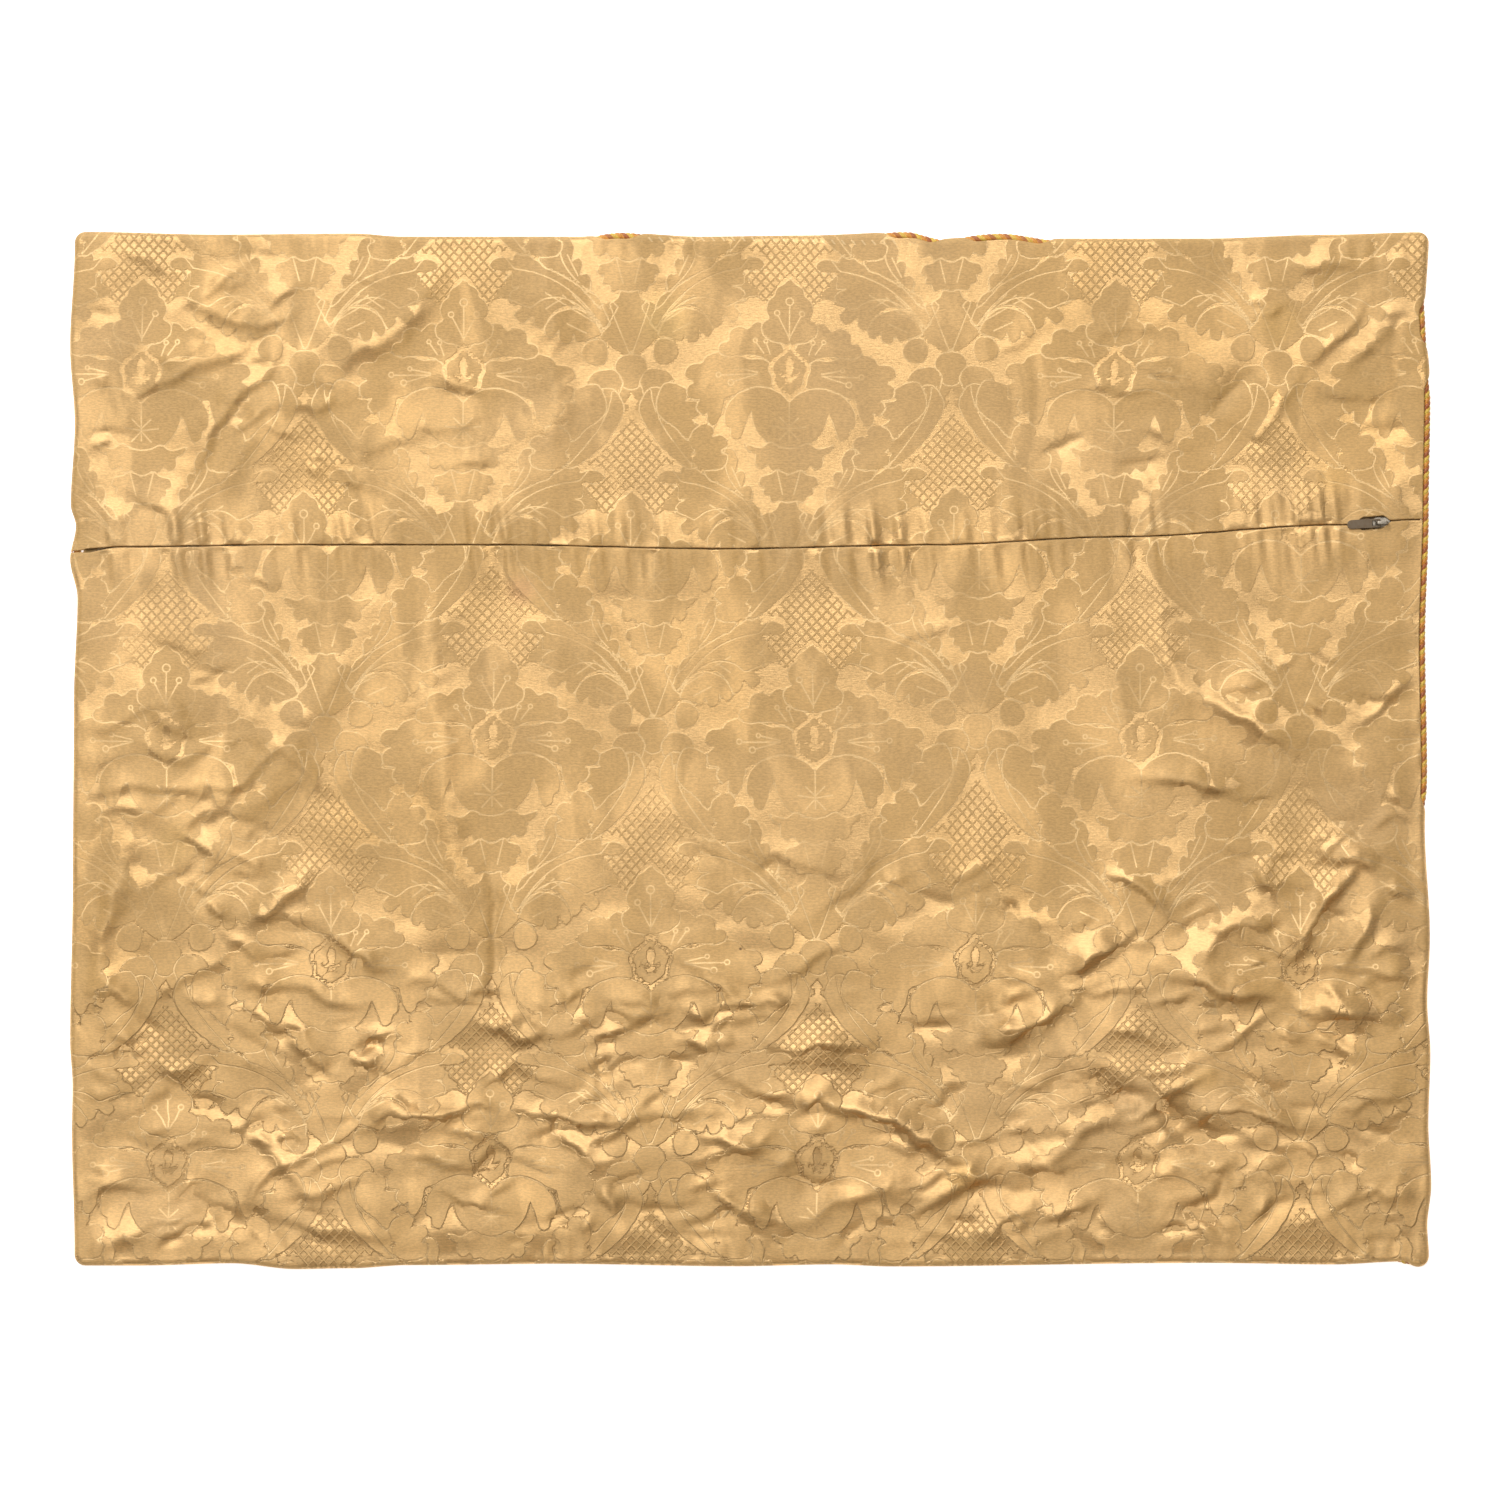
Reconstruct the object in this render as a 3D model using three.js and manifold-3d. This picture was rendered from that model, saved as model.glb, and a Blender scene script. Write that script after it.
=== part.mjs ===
// An empty cushion cover in gold damask, lying flat and face down, so that its back shows.
// The back is an upper and a lower panel that meet at a concealed zip. A twisted cord is
// sewn into the seam round the edge. Millimetres, +X to the right, +Y to the top edge, +Z up.
import * as THREE from 'three';
import { mergeVertices } from 'three/addons/utils/BufferGeometryUtils.js';
import Module from 'manifold-3d';

// Driving sizes
const halfWidth = 305.9;
const halfHeight = 233.1;
const clothThickness = 1.2;
const pieceGap = 0.3;
const cornerRadius = 5;
const cordCorner = 7;
const cordRadius = 1.8;
const cordInset = 3; // from the outline to the cord's centre where the back covers it
const tapeWidth = 22;
const tapeThickness = 0.6;
const coilWidth = 3;
const coilHeight = 1.4;
const closedLip = 0.45; // half the slit between the two back panels
const openLip = 2.75; // the same at the slider
const gridStep = 14.5;

// Levels above the surface that the cover lies on
const tapeTop = 3.7;
const looseLevel = 4.6; // top of the back panels away from seams and folds
const lowestBack = clothThickness * 2 + pieceGap * 1.6;
const zipLevel = tapeTop + pieceGap + clothThickness + 0.1;
const zipRelief = 0.3; // share of a ridge that is left where it crosses the zip
const zipFade = { from: 12, to: 26 }; // distance from the slit over which the tape's lift dies away
const rimFade = { from: 6.5, to: 20 }; // distance from the rim over which the folds come in
const cordClear = cordRadius + 2.2 * pieceGap + clothThickness;

// Where each edge falls inside the plain rectangle
const leftEdge = [
  { at: -222.9, inset: 2.0 },
  { at: -170.4, inset: 0.8 },
  { at: -150.2, inset: 1.1 },
  { at: -130.4, inset: 0 },
  { at: -58.1, inset: 1.2 },
  { at: 22.7, inset: 1.7 },
  { at: 68.5, inset: 3.3 },
  { at: 86, inset: 0 },
  { at: 100.8, inset: 2.6 },
  { at: 110, inset: 0.3 },
  { at: 146, inset: 2.1 },
  { at: 180, inset: 0 },
  { at: 224.7, inset: 2.1 },
];
const rightEdge = [
  { at: -225.2, inset: 1.1 },
  { at: -212.6, inset: 1.8 },
  { at: -194.2, inset: 0 },
  { at: -166.4, inset: 1.3 },
  { at: -135.4, inset: 0.4 },
  { at: -112, inset: 1.8 },
  { at: -83, inset: 0.6 },
  { at: -34.3, inset: 2.9 },
  { at: -11, inset: 1.8 },
  { at: 50.5, inset: 2.7 },
  { at: 108, inset: 1.1 },
  { at: 160.5, inset: 0.4 },
  { at: 196, inset: 2.7 },
  { at: 230.1, inset: 1.1 },
];
const bottomEdge = [
  { at: -275.5, inset: 1.6 },
  { at: -233, inset: 2.6 },
  { at: -204.6, inset: 0 },
  { at: -179.4, inset: 0.4 },
  { at: -154.3, inset: 1.8 },
  { at: -88.7, inset: 2.4 },
  { at: -7, inset: 1.3 },
  { at: 36.5, inset: 2.1 },
  { at: 63, inset: 1.2 },
  { at: 202.6, inset: 2.8 },
  { at: 261.5, inset: 2.1 },
  { at: 291.1, inset: 3.4 },
  { at: 298.8, inset: 1 },
];
const topEdge = [
  { at: -296.6, inset: 0 },
  { at: -240, inset: 1.2 },
  { at: -178.1, inset: 0.7 },
  { at: -157.4, inset: 2.1 },
  { at: -76.6, inset: 2.1 },
  { at: -60, inset: 0.3 },
  { at: -22.7, inset: 2.1 },
  { at: 22.2, inset: 1.6 },
  { at: 71.5, inset: 0 },
  { at: 85, inset: 3 },
  { at: 114.2, inset: 0.7 },
  { at: 134.4, inset: 3 },
  { at: 201.7, inset: 3 },
  { at: 260.1, inset: 1.2 },
  { at: 302.3, inset: 0.1 },
];

// Stretches of the seam where the back slips inwards and the cord shows past it
const bareRight = [
  { from: -19.1, to: 160.5 },
  { from: 186.1, to: 194.6 },
];
const bareTop = [
  { from: -64.1, to: -56 },
  { from: 65.7, to: 78.7 },
  { from: 102.1, to: 128.1 },
];
const bareRamp = 15;

// The line of the zip across the back
const zipRun = [
  { at: -304.7, y: 89.1 },
  { at: -279.6, y: 91.4 },
  { at: -207.3, y: 92.3 },
  { at: -112.5, y: 92.3 },
  { at: -9.7, y: 90.5 },
  { at: 85, y: 92.3 },
  { at: 169, y: 95.9 },
  { at: 269.1, y: 101.3 },
  { at: 303.7, y: 103.7 },
];
const tapeEnd = 293;
const sliderAt = { x: 283.3, length: 8, width: 4.8, bottom: 1.6, top: 4.3 };
const openSlit = { from: 278.8, to: 287.9, ramp: 4 };
const bridge = { length: 5.6, width: 1.4, wall: 0.8, height: 3.7 };
const pull = { length: 15, width: 4, thickness: 0.9, level: 5.8, turn: 0.06 };
const pullEye = { near: 1, far: 3.8, halfWidth: 1.15 };

// Folds of the back: a run of points, the height of the ridge (below 0, the depth of the
// trough) and how far from the run it dies away
const folds = [
  { run: [[-261, 99], [-225, 139], [-202, 171], [-175, 198], [-148, 226]], height: 5, reach: 15 },
  { run: [[-256, 122], [-243, 143], [-222, 172]], height: -2.5, reach: 8 },
  { run: [[-267, 170], [-245, 184]], height: 2.5, reach: 9 },
  { run: [[-246, 203], [-233, 215]], height: 2.5, reach: 9 },
  { run: [[-184, 170], [-155, 196]], height: -1.5, reach: 9 },
  { run: [[-90, 229], [-86, 193], [-79, 162]], height: 3, reach: 16 },
  { run: [[204, 151], [223, 171]], height: -1.6, reach: 9 },
  { run: [[251, 171], [275, 195]], height: -1.8, reach: 8 },
  { run: [[258, 165], [292, 194]], height: 3, reach: 10 },
  { run: [[-256, -63], [-220, -18], [-189, 32], [-171, 63]], height: 5, reach: 13 },
  { run: [[-302, -20], [-251, -19], [-227, -14], [-207, 8]], height: -2.4, reach: 10 },
  { run: [[-272, 8], [-250, 22]], height: 2.8, reach: 22 },
  { run: [[-148, 76], [-139, 23], [-130, -22], [-121, -67], [-117, -112]], height: 3.6, reach: 10 },
  { run: [[-117, 50], [-112, -22], [-106, -80]], height: -1.6, reach: 9 },
  { run: [[-296, -108], [-279, -45]], height: 3.4, reach: 13 },
  { run: [[-164, -167], [-132, -164]], height: -2.6, reach: 9 },
  { run: [[-226, -62], [-196, -54]], height: 2.2, reach: 12 },
  { run: [[47, -162], [68, -179], [86, -182], [101, -193]], height: -3.2, reach: 9 },
  { run: [[18, -184], [67, -199]], height: 3, reach: 12 },
  { run: [[112, -197], [157, -166], [208, -145]], height: 4.6, reach: 13 },
  { run: [[113, -125], [149, -109]], height: -2.2, reach: 9 },
  { run: [[150, -95], [169, -87]], height: -2, reach: 8 },
  { run: [[201, -108], [231, -117]], height: -3.2, reach: 9 },
  { run: [[197, -98], [224, -71]], height: 4, reach: 11 },
  { run: [[258, -115], [277, -120]], height: -2.8, reach: 10 },
  { run: [[265, -58], [243, -92]], height: -2.4, reach: 8 },
  { run: [[279, -68], [260, -103]], height: 3.4, reach: 11 },
  { run: [[178, -15], [191, -19], [218, -29]], height: -3.4, reach: 9 },
  { run: [[179, 78], [193, 27], [242, 5], [275, -6]], height: 4.2, reach: 14 },
  { run: [[161, -58], [184, -74]], height: -2.6, reach: 9 },
  { run: [[261, -50], [282, -59]], height: -2.4, reach: 8 },
  { run: [[215, -166], [246, -173]], height: -2.8, reach: 9 },
];
// Broad puffs of air under the loose cloth
const puffs = [
  { x: 190, y: -90, height: 2.6, reach: 110 },
  { x: -60, y: -140, height: 1.6, reach: 120 },
  { x: -230, y: 10, height: 1.2, reach: 70 },
  { x: 60, y: 20, height: 0.9, reach: 120 },
];

// Grid lines close to an edge, measured from it, where the cloth rolls over the cord
const edgeLines = [0, 0.8, 2, 4, 7.5, 13];
const sliderLines = [15.5, 18, 22.5, 27, 30, 40];
const lipLines = [0, 5, 13];

// The front panel's rim, from its seam to where it lies flat: inward from the cord's centre
const frontRings = [
  { inward: 2.4, lift: 2.3 },
  { inward: 3.6, lift: 1.5 },
  { inward: 6, lift: 0 },
];

const silk = { color: 0xdcb87c, roughness: 0.45, metalness: 0 };
const frontSilk = { color: 0xd2a963, roughness: 0.5, metalness: 0 };
const cordYarn = { color: 0xc98a2c, roughness: 0.55, metalness: 0 };
const tapeCloth = { color: 0xb9a078, roughness: 0.8, metalness: 0 };
const sliderMetal = { color: 0xb9b6ae, roughness: 0.3, metalness: 1 };
const pullEnamel = { color: 0x8d7f74, roughness: 0.4, metalness: 0 };

const smooth = (low, high, value) => THREE.MathUtils.smoothstep(value, low, high);
const mix = THREE.MathUtils.lerp;

// Reads a table at a place, easing between its rows
function follow(table, at, column) {
  if (at <= table[0].at) return table[0][column];
  const last = table[table.length - 1];
  if (at >= last.at) return last[column];
  const next = table.findIndex((row) => row.at > at);
  const [a, b] = [table[next - 1], table[next]];
  return mix(a[column], b[column], smooth(a.at, b.at, at));
}

// 1 where the cord is bare, 0 where the back covers it
function bareness(stretches, at) {
  const parts = stretches.map(({ from, to }) => (
    smooth(from - bareRamp, from, at) * (1 - smooth(to, to + bareRamp, at))
  ));
  return Math.max(0, ...parts);
}

const edges = {
  left: { table: leftEdge, bare: [] },
  right: { table: rightEdge, bare: bareRight },
  bottom: { table: bottomEdge, bare: [] },
  top: { table: topEdge, bare: bareTop },
};

// How far inside the plain rectangle the back's edge and the cord's centre lie
const insetOf = {
  back: (edge, at) => follow(edge.table, at, 'inset') + cordRadius * bareness(edge.bare, at),
  cord: (edge, at) => follow(edge.table, at, 'inset')
    + mix(cordInset, cordRadius, bareness(edge.bare, at)),
};

const zipY = (x) => follow(zipRun, x, 'y');

function lipHalf(x) {
  const { from, to, ramp } = openSlit;
  const open = smooth(from - ramp, from, x) * (1 - smooth(to, to + ramp, x));
  return mix(closedLip, openLip, open);
}

function distanceToRun(run, x, y) {
  let nearest = Infinity;
  for (let i = 1; i < run.length; i += 1) {
    const [ax, ay] = run[i - 1];
    const [dx, dy] = [run[i][0] - ax, run[i][1] - ay];
    const along = THREE.MathUtils.clamp(((x - ax) * dx + (y - ay) * dy) / (dx * dx + dy * dy), 0, 1);
    nearest = Math.min(nearest, Math.hypot(x - ax - dx * along, y - ay - dy * along));
  }
  return nearest;
}

const bell = (ratio) => Math.exp(-ratio * ratio);

function foldHeight(x, y) {
  const ridges = folds.map(({ run, height, reach }) => height * bell(distanceToRun(run, x, y) / reach));
  const swells = puffs.map((p) => p.height * bell(Math.hypot(x - p.x, y - p.y) / p.reach));
  return [...ridges, ...swells].reduce((sum, part) => sum + part, 0);
}

// Top of the back panels: rolled over the cord at the rim, raised along the zip, folded between
function backHeight(x, y, rimDistance, cordDistance) {
  const relief = foldHeight(x, y);
  const loose = Math.max(lowestBack, looseLevel + relief);
  const toZip = Math.abs(y - zipY(x));
  const overTape = zipLevel + zipRelief * Math.max(0, relief);
  const inner = mix(overTape, loose, smooth(zipFade.from, zipFade.to, toZip));
  const shortfall = Math.max(0, cordDistance - rimDistance);
  const overCord = cordRadius + Math.sqrt(cordClear ** 2 - shortfall ** 2);
  return mix(overCord, inner, smooth(rimFade.from, rimFade.to, rimDistance));
}

// Rounds the four outer corners by turning each corner square into a quarter disc
function roundCorner(across, up, radius) {
  if (across >= radius || up >= radius) return [across, up];
  const a = 1 - across / radius;
  const b = 1 - up / radius;
  return [
    radius * (1 - a * Math.sqrt(1 - (b * b) / 2)),
    radius * (1 - b * Math.sqrt(1 - (a * a) / 2)),
  ];
}

// Distance to the rim of a piece whose corners are rounded like that
function rimReach(across, up, radius) {
  if (across >= radius || up >= radius) return Math.min(across, up);
  return radius - Math.hypot(radius - across, radius - up);
}

// Grid lines of one direction: fixed distances from the start and the end, even steps between
function gridLines(startLines, endLines, length) {
  const first = startLines[startLines.length - 1];
  const last = endLines[endLines.length - 1];
  const steps = Math.max(1, Math.round((length - first - last) / gridStep));
  const lines = startLines.map((start) => ({ start }));
  for (let i = 1; i < steps; i += 1) lines.push({ share: i / steps });
  return [...lines, ...[...endLines].reverse().map((end) => ({ end }))];
}

// Place of a grid line between two ends
function placeLine(line, low, high, startLines, endLines) {
  if (line.start !== undefined) return low + line.start;
  if (line.end !== undefined) return high - line.end;
  return mix(low + startLines[startLines.length - 1], high - endLines[endLines.length - 1], line.share);
}

// A closed sheet of even thickness below a grid of top points
function sheetSolid(columns, rows, topPoint) {
  const [nx, ny] = [columns.length, rows.length];
  const top = rows.map((row) => columns.map((column) => topPoint(column, row)));
  const at = (i, j) => top[THREE.MathUtils.clamp(j, 0, ny - 1)][THREE.MathUtils.clamp(i, 0, nx - 1)];
  const positions = [];
  top.forEach((line) => line.forEach((point) => positions.push(...point.toArray())));
  for (let j = 0; j < ny; j += 1) {
    for (let i = 0; i < nx; i += 1) {
      const across = at(i + 1, j).clone().sub(at(i - 1, j));
      const up = at(i, j + 1).clone().sub(at(i, j - 1));
      const normal = across.cross(up).normalize();
      positions.push(...at(i, j).clone().addScaledVector(normal, -clothThickness).toArray());
    }
  }
  const under = nx * ny;
  const faces = [];
  const quad = (a, b, c, d) => faces.push(a, b, c, a, c, d);
  for (let j = 0; j < ny - 1; j += 1) {
    for (let i = 0; i < nx - 1; i += 1) {
      const corner = j * nx + i;
      quad(corner, corner + 1, corner + nx + 1, corner + nx);
      quad(under + corner, under + corner + nx, under + corner + nx + 1, under + corner + 1);
    }
  }
  for (let i = 0; i < nx - 1; i += 1) {
    const far = (ny - 1) * nx + i;
    quad(i, under + i, under + i + 1, i + 1);
    quad(far + 1, under + far + 1, under + far, far);
  }
  for (let j = 0; j < ny - 1; j += 1) {
    const near = j * nx;
    const far = near + nx - 1;
    quad(near + nx, under + near + nx, under + near, near);
    quad(far, under + far, under + far + nx, far + nx);
  }
  const geometry = new THREE.BufferGeometry();
  geometry.setAttribute('position', new THREE.Float32BufferAttribute(positions, 3));
  geometry.setIndex(faces);
  return geometry;
}

// Left and right end of a row, and top and bottom end of a column, for one piece
function spanX(piece, y) {
  return [
    -halfWidth + insetOf[piece](edges.left, y),
    halfWidth - insetOf[piece](edges.right, y),
  ];
}
function spanY(piece, x) {
  return [
    -halfHeight + insetOf[piece](edges.bottom, x),
    halfHeight - insetOf[piece](edges.top, x),
  ];
}

// The cord's centre line measured from the back's own edge
function cordFromRim(x, y) {
  const fromSide = halfWidth - Math.abs(x);
  const fromEnd = halfHeight - Math.abs(y);
  const edge = fromSide < fromEnd ? edges[x < 0 ? 'left' : 'right'] : edges[y < 0 ? 'bottom' : 'top'];
  return cordInset * (1 - bareness(edge.bare, fromSide < fromEnd ? y : x));
}

// One back panel between the zip and an outer edge: side is 1 above the zip and -1 below
function backPanel(side) {
  const rightLines = [...edgeLines, ...sliderLines];
  const columns = gridLines(edgeLines, rightLines, 2 * halfWidth);
  const startRows = side > 0 ? lipLines : edgeLines;
  const endRows = side > 0 ? edgeLines : lipLines;
  const rows = gridLines(startRows, endRows, halfHeight - side * zipY(0));
  return sheetSolid(columns, rows, (column, row) => {
    const plainX = placeLine(column, -halfWidth, halfWidth, edgeLines, rightLines);
    const plainSpan = side > 0 ? [zipY(plainX), halfHeight] : [-halfHeight, zipY(plainX)];
    const plainY = placeLine(row, ...plainSpan, startRows, endRows);
    const [left, right] = spanX('back', plainY);
    const [bottom, top] = spanY('back', plainX);
    let x = placeLine(column, left, right, edgeLines, rightLines);
    const lip = zipY(x) + side * lipHalf(x);
    let y = placeLine(row, ...(side > 0 ? [lip, top] : [bottom, lip]), startRows, endRows);
    const fromSide = Math.min(x - left, right - x);
    const fromEnd = side > 0 ? top - y : y - bottom;
    const [across, up] = roundCorner(fromSide, fromEnd, cornerRadius);
    x += Math.sign(-x) * (across - fromSide);
    y -= side * (up - fromEnd);
    const rim = Math.max(0, rimReach(across, up, cornerRadius));
    return new THREE.Vector3(x, y, backHeight(x, y, rim, cordFromRim(plainX, plainY)));
  });
}

// The closed line of the seam that the cord is sewn into
class SeamLine extends THREE.Curve {
  constructor(points) {
    super();
    this.points = points;
  }

  getPoint(t, target = new THREE.Vector3()) {
    const place = t * this.points.length;
    const index = Math.floor(place) % this.points.length;
    const next = this.points[(index + 1) % this.points.length];
    return target.copy(this.points[index]).lerp(next, place - Math.floor(place));
  }

  getPointAt(u, target) {
    return this.getPoint(u, target);
  }

  getTangentAt(u, target = new THREE.Vector3()) {
    const step = 0.5 / this.points.length;
    const ahead = this.getPoint((u + step) % 1);
    return target.copy(ahead).sub(this.getPoint((u - step + 1) % 1)).normalize();
  }
}

function seamPoints() {
  const bendSteps = 4;
  const sideSteps = { long: 50, short: 38 };
  const [right, top] = [halfWidth - cordInset - cordCorner, halfHeight - cordInset - cordCorner];
  const corners = [[right, top], [-right, top], [-right, -top], [right, -top]];
  const points = [];
  corners.forEach(([cx, cy], index) => {
    for (let k = 0; k <= bendSteps; k += 1) {
      const angle = (Math.PI / 2) * (index + k / bendSteps);
      points.push([cx + cordCorner * Math.cos(angle), cy + cordCorner * Math.sin(angle)]);
    }
    const [nx, ny] = corners[(index + 1) % 4];
    const steps = index % 2 === 0 ? sideSteps.long : sideSteps.short;
    const outward = (Math.PI / 2) * (index + 1);
    for (let k = 1; k < steps; k += 1) {
      const share = k / steps;
      points.push([
        mix(cx, nx, share) + cordCorner * Math.cos(outward),
        mix(cy, ny, share) + cordCorner * Math.sin(outward),
      ]);
    }
  });
  // each plain point is pulled in or let out to where the seam runs beside it
  return points.map(([x, y]) => {
    const [left, rightX] = spanX('cord', y);
    const [bottom, topY] = spanY('cord', x);
    const shareX = x / (halfWidth - cordInset);
    const shareY = y / (halfHeight - cordInset);
    return new THREE.Vector3(
      x < 0 ? -shareX * left : shareX * rightX,
      y < 0 ? -shareY * bottom : shareY * topY,
      cordRadius,
    );
  });
}

// A loop of points moved inwards across its own run
function insideLoop(points, inward) {
  return points.map((point, index) => {
    const before = points[(index + points.length - 1) % points.length];
    const after = points[(index + 1) % points.length];
    const run = after.clone().sub(before).setZ(0).normalize();
    return new THREE.Vector3(point.x - run.y * inward, point.y + run.x * inward, 0);
  });
}

// The front, face down: flat on the surface, lifted at its rim to the seam with the cord
function frontPanel() {
  const seam = seamPoints();
  const count = seam.length;
  const rings = frontRings.map(({ inward, lift }) => (
    insideLoop(seam, inward).map((point) => point.setZ(clothThickness + lift))
  ));
  const positions = [];
  rings.forEach((ring) => ring.forEach((p) => positions.push(p.x, p.y, p.z)));
  rings.forEach((ring) => ring.forEach((p) => positions.push(p.x, p.y, p.z - clothThickness)));
  const under = rings.length * count;
  const [middleTop, middleUnder] = [2 * under, 2 * under + 1];
  positions.push(0, 0, clothThickness, 0, 0, 0);
  const lastRing = under - count;
  const faces = [];
  const quad = (a, b, c, d) => faces.push(a, b, c, a, c, d);
  for (let i = 0; i < count; i += 1) {
    const next = (i + 1) % count;
    for (let k = 0; k < rings.length - 1; k += 1) {
      const [outer, inside] = [k * count, (k + 1) * count];
      quad(outer + i, outer + next, inside + next, inside + i);
      quad(under + outer + next, under + outer + i, under + inside + i, under + inside + next);
    }
    quad(i, under + i, under + next, next);
    faces.push(lastRing + i, lastRing + next, middleTop);
    faces.push(under + lastRing + next, under + lastRing + i, middleUnder);
  }
  const geometry = new THREE.BufferGeometry();
  geometry.setAttribute('position', new THREE.Float32BufferAttribute(positions, 3));
  geometry.setIndex(faces);
  return geometry;
}

function trimCord() {
  const points = seamPoints();
  const cordSides = 6;
  return new THREE.TubeGeometry(new SeamLine(points), points.length, cordRadius, cordSides, true);
}

const wasm = await Module();
wasm.setup();

function toSolid(geometry) {
  const bare = geometry.clone();
  bare.deleteAttribute('normal');
  bare.deleteAttribute('uv');
  const merged = mergeVertices(bare, 1e-4);
  return new wasm.Manifold(new wasm.Mesh({
    numProp: 3,
    vertProperties: new Float32Array(merged.attributes.position.array),
    triVerts: new Uint32Array(merged.index.array),
  }));
}

function fromSolid(solid) {
  const { vertProperties, triVerts } = solid.getMesh();
  const geometry = new THREE.BufferGeometry();
  geometry.setAttribute('position', new THREE.BufferAttribute(vertProperties, 3));
  geometry.setIndex(new THREE.BufferAttribute(triVerts, 1));
  return geometry;
}

// The tape behind the slit with the row of coils under it, cut away where the slider runs
function zipTape() {
  const half = tapeWidth / 2;
  const coilHalf = coilWidth / 2;
  const [low, mid, high] = [tapeTop - tapeThickness - coilHeight, tapeTop - tapeThickness, tapeTop];
  const section = new THREE.Shape([
    new THREE.Vector2(-high, -half),
    new THREE.Vector2(-mid, -half),
    new THREE.Vector2(-mid, -coilHalf),
    new THREE.Vector2(-low, -coilHalf),
    new THREE.Vector2(-low, coilHalf),
    new THREE.Vector2(-mid, coilHalf),
    new THREE.Vector2(-mid, half),
    new THREE.Vector2(-high, half),
  ]);
  const stations = 20;
  const line = [];
  for (let k = 0; k <= stations; k += 1) {
    const x = mix(-tapeEnd, tapeEnd, k / stations);
    line.push(new THREE.Vector3(x, zipY(x), 0));
  }
  const path = new THREE.CatmullRomCurve3(line);
  const tape = new THREE.ExtrudeGeometry(section, { steps: stations, extrudePath: path });
  const window = new THREE.BoxGeometry(
    sliderAt.length + 2 * pieceGap,
    sliderAt.width + 2 * pieceGap,
    3 * (tapeThickness + coilHeight),
  );
  window.translate(sliderAt.x, zipY(sliderAt.x), tapeTop);
  return fromSolid(toSolid(tape).subtract(toSolid(window)));
}

// Slider: a body with a blunt nose, and the bridge that holds the pull
function zipSlider() {
  const halfLength = sliderAt.length / 2;
  const halfBody = sliderAt.width / 2;
  const nose = 1.6;
  const outline = new THREE.Shape();
  outline.moveTo(-halfLength, -halfBody + nose / 2);
  outline.lineTo(-halfLength + nose, -halfBody);
  outline.lineTo(halfLength, -halfBody);
  outline.lineTo(halfLength, halfBody);
  outline.lineTo(-halfLength + nose, halfBody);
  outline.lineTo(-halfLength, halfBody - nose / 2);
  outline.closePath();
  const body = new THREE.ExtrudeGeometry(outline, {
    depth: sliderAt.top - sliderAt.bottom,
    bevelEnabled: false,
  });
  body.translate(0, 0, sliderAt.bottom);
  const arch = new THREE.Shape();
  const [reach, rise, wall] = [bridge.length / 2, bridge.height, bridge.wall];
  arch.moveTo(-reach, -wall);
  arch.lineTo(-reach, rise - wall);
  arch.lineTo(-reach + wall, rise);
  arch.lineTo(reach - wall, rise);
  arch.lineTo(reach, rise - wall);
  arch.lineTo(reach, -wall);
  arch.closePath();
  const eye = new THREE.Path();
  eye.moveTo(-reach + wall, 0.1);
  eye.lineTo(reach - wall, 0.1);
  eye.lineTo(reach - wall, rise - wall);
  eye.lineTo(-reach + wall, rise - wall);
  eye.closePath();
  arch.holes.push(eye);
  const loop = new THREE.ExtrudeGeometry(arch, { depth: bridge.width, bevelEnabled: false });
  loop.rotateX(Math.PI / 2);
  loop.translate(0, bridge.width / 2, sliderAt.top);
  const whole = fromSolid(toSolid(body).add(toSolid(loop)));
  whole.translate(sliderAt.x, zipY(sliderAt.x), 0);
  return whole;
}

// Pull: a flat bar with a round far end, lying to the left with the bridge through its eye
function zipPull() {
  const half = pull.width / 2;
  const bar = new THREE.Shape();
  bar.moveTo(0, half);
  bar.lineTo(-pull.length + half, half);
  bar.absarc(-pull.length + half, 0, half, Math.PI / 2, Math.PI * 1.5, false);
  bar.lineTo(0, -half);
  bar.closePath();
  const eye = new THREE.Path();
  eye.moveTo(-pullEye.far, -pullEye.halfWidth);
  eye.lineTo(-pullEye.near, -pullEye.halfWidth);
  eye.lineTo(-pullEye.near, pullEye.halfWidth);
  eye.lineTo(-pullEye.far, pullEye.halfWidth);
  eye.closePath();
  bar.holes.push(eye);
  const geometry = new THREE.ExtrudeGeometry(bar, {
    depth: pull.thickness,
    bevelEnabled: false,
    curveSegments: 6,
  });
  return geometry;
}

const cover = new THREE.Group();
function addPiece(name, geometry, finish) {
  const mesh = new THREE.Mesh(geometry, new THREE.MeshStandardMaterial(finish));
  mesh.name = name;
  cover.add(mesh);
  return mesh;
}

addPiece('front_panel', frontPanel(), frontSilk);
addPiece('back_lower', backPanel(-1), silk);
addPiece('back_upper', backPanel(1), silk);
addPiece('trim_cord', trimCord(), cordYarn);
addPiece('zip_tape', zipTape(), tapeCloth);
addPiece('zip_slider', zipSlider(), sliderMetal);
const pullPiece = addPiece('zip_pull', zipPull(), pullEnamel);
const crossbar = pullEye.near;
pullPiece.position.set(
  sliderAt.x - bridge.length / 2 + bridge.wall + pieceGap * 1.5 + crossbar,
  zipY(sliderAt.x),
  pull.level,
);
pullPiece.rotation.z = pull.turn;

export default cover;
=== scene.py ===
import math

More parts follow.
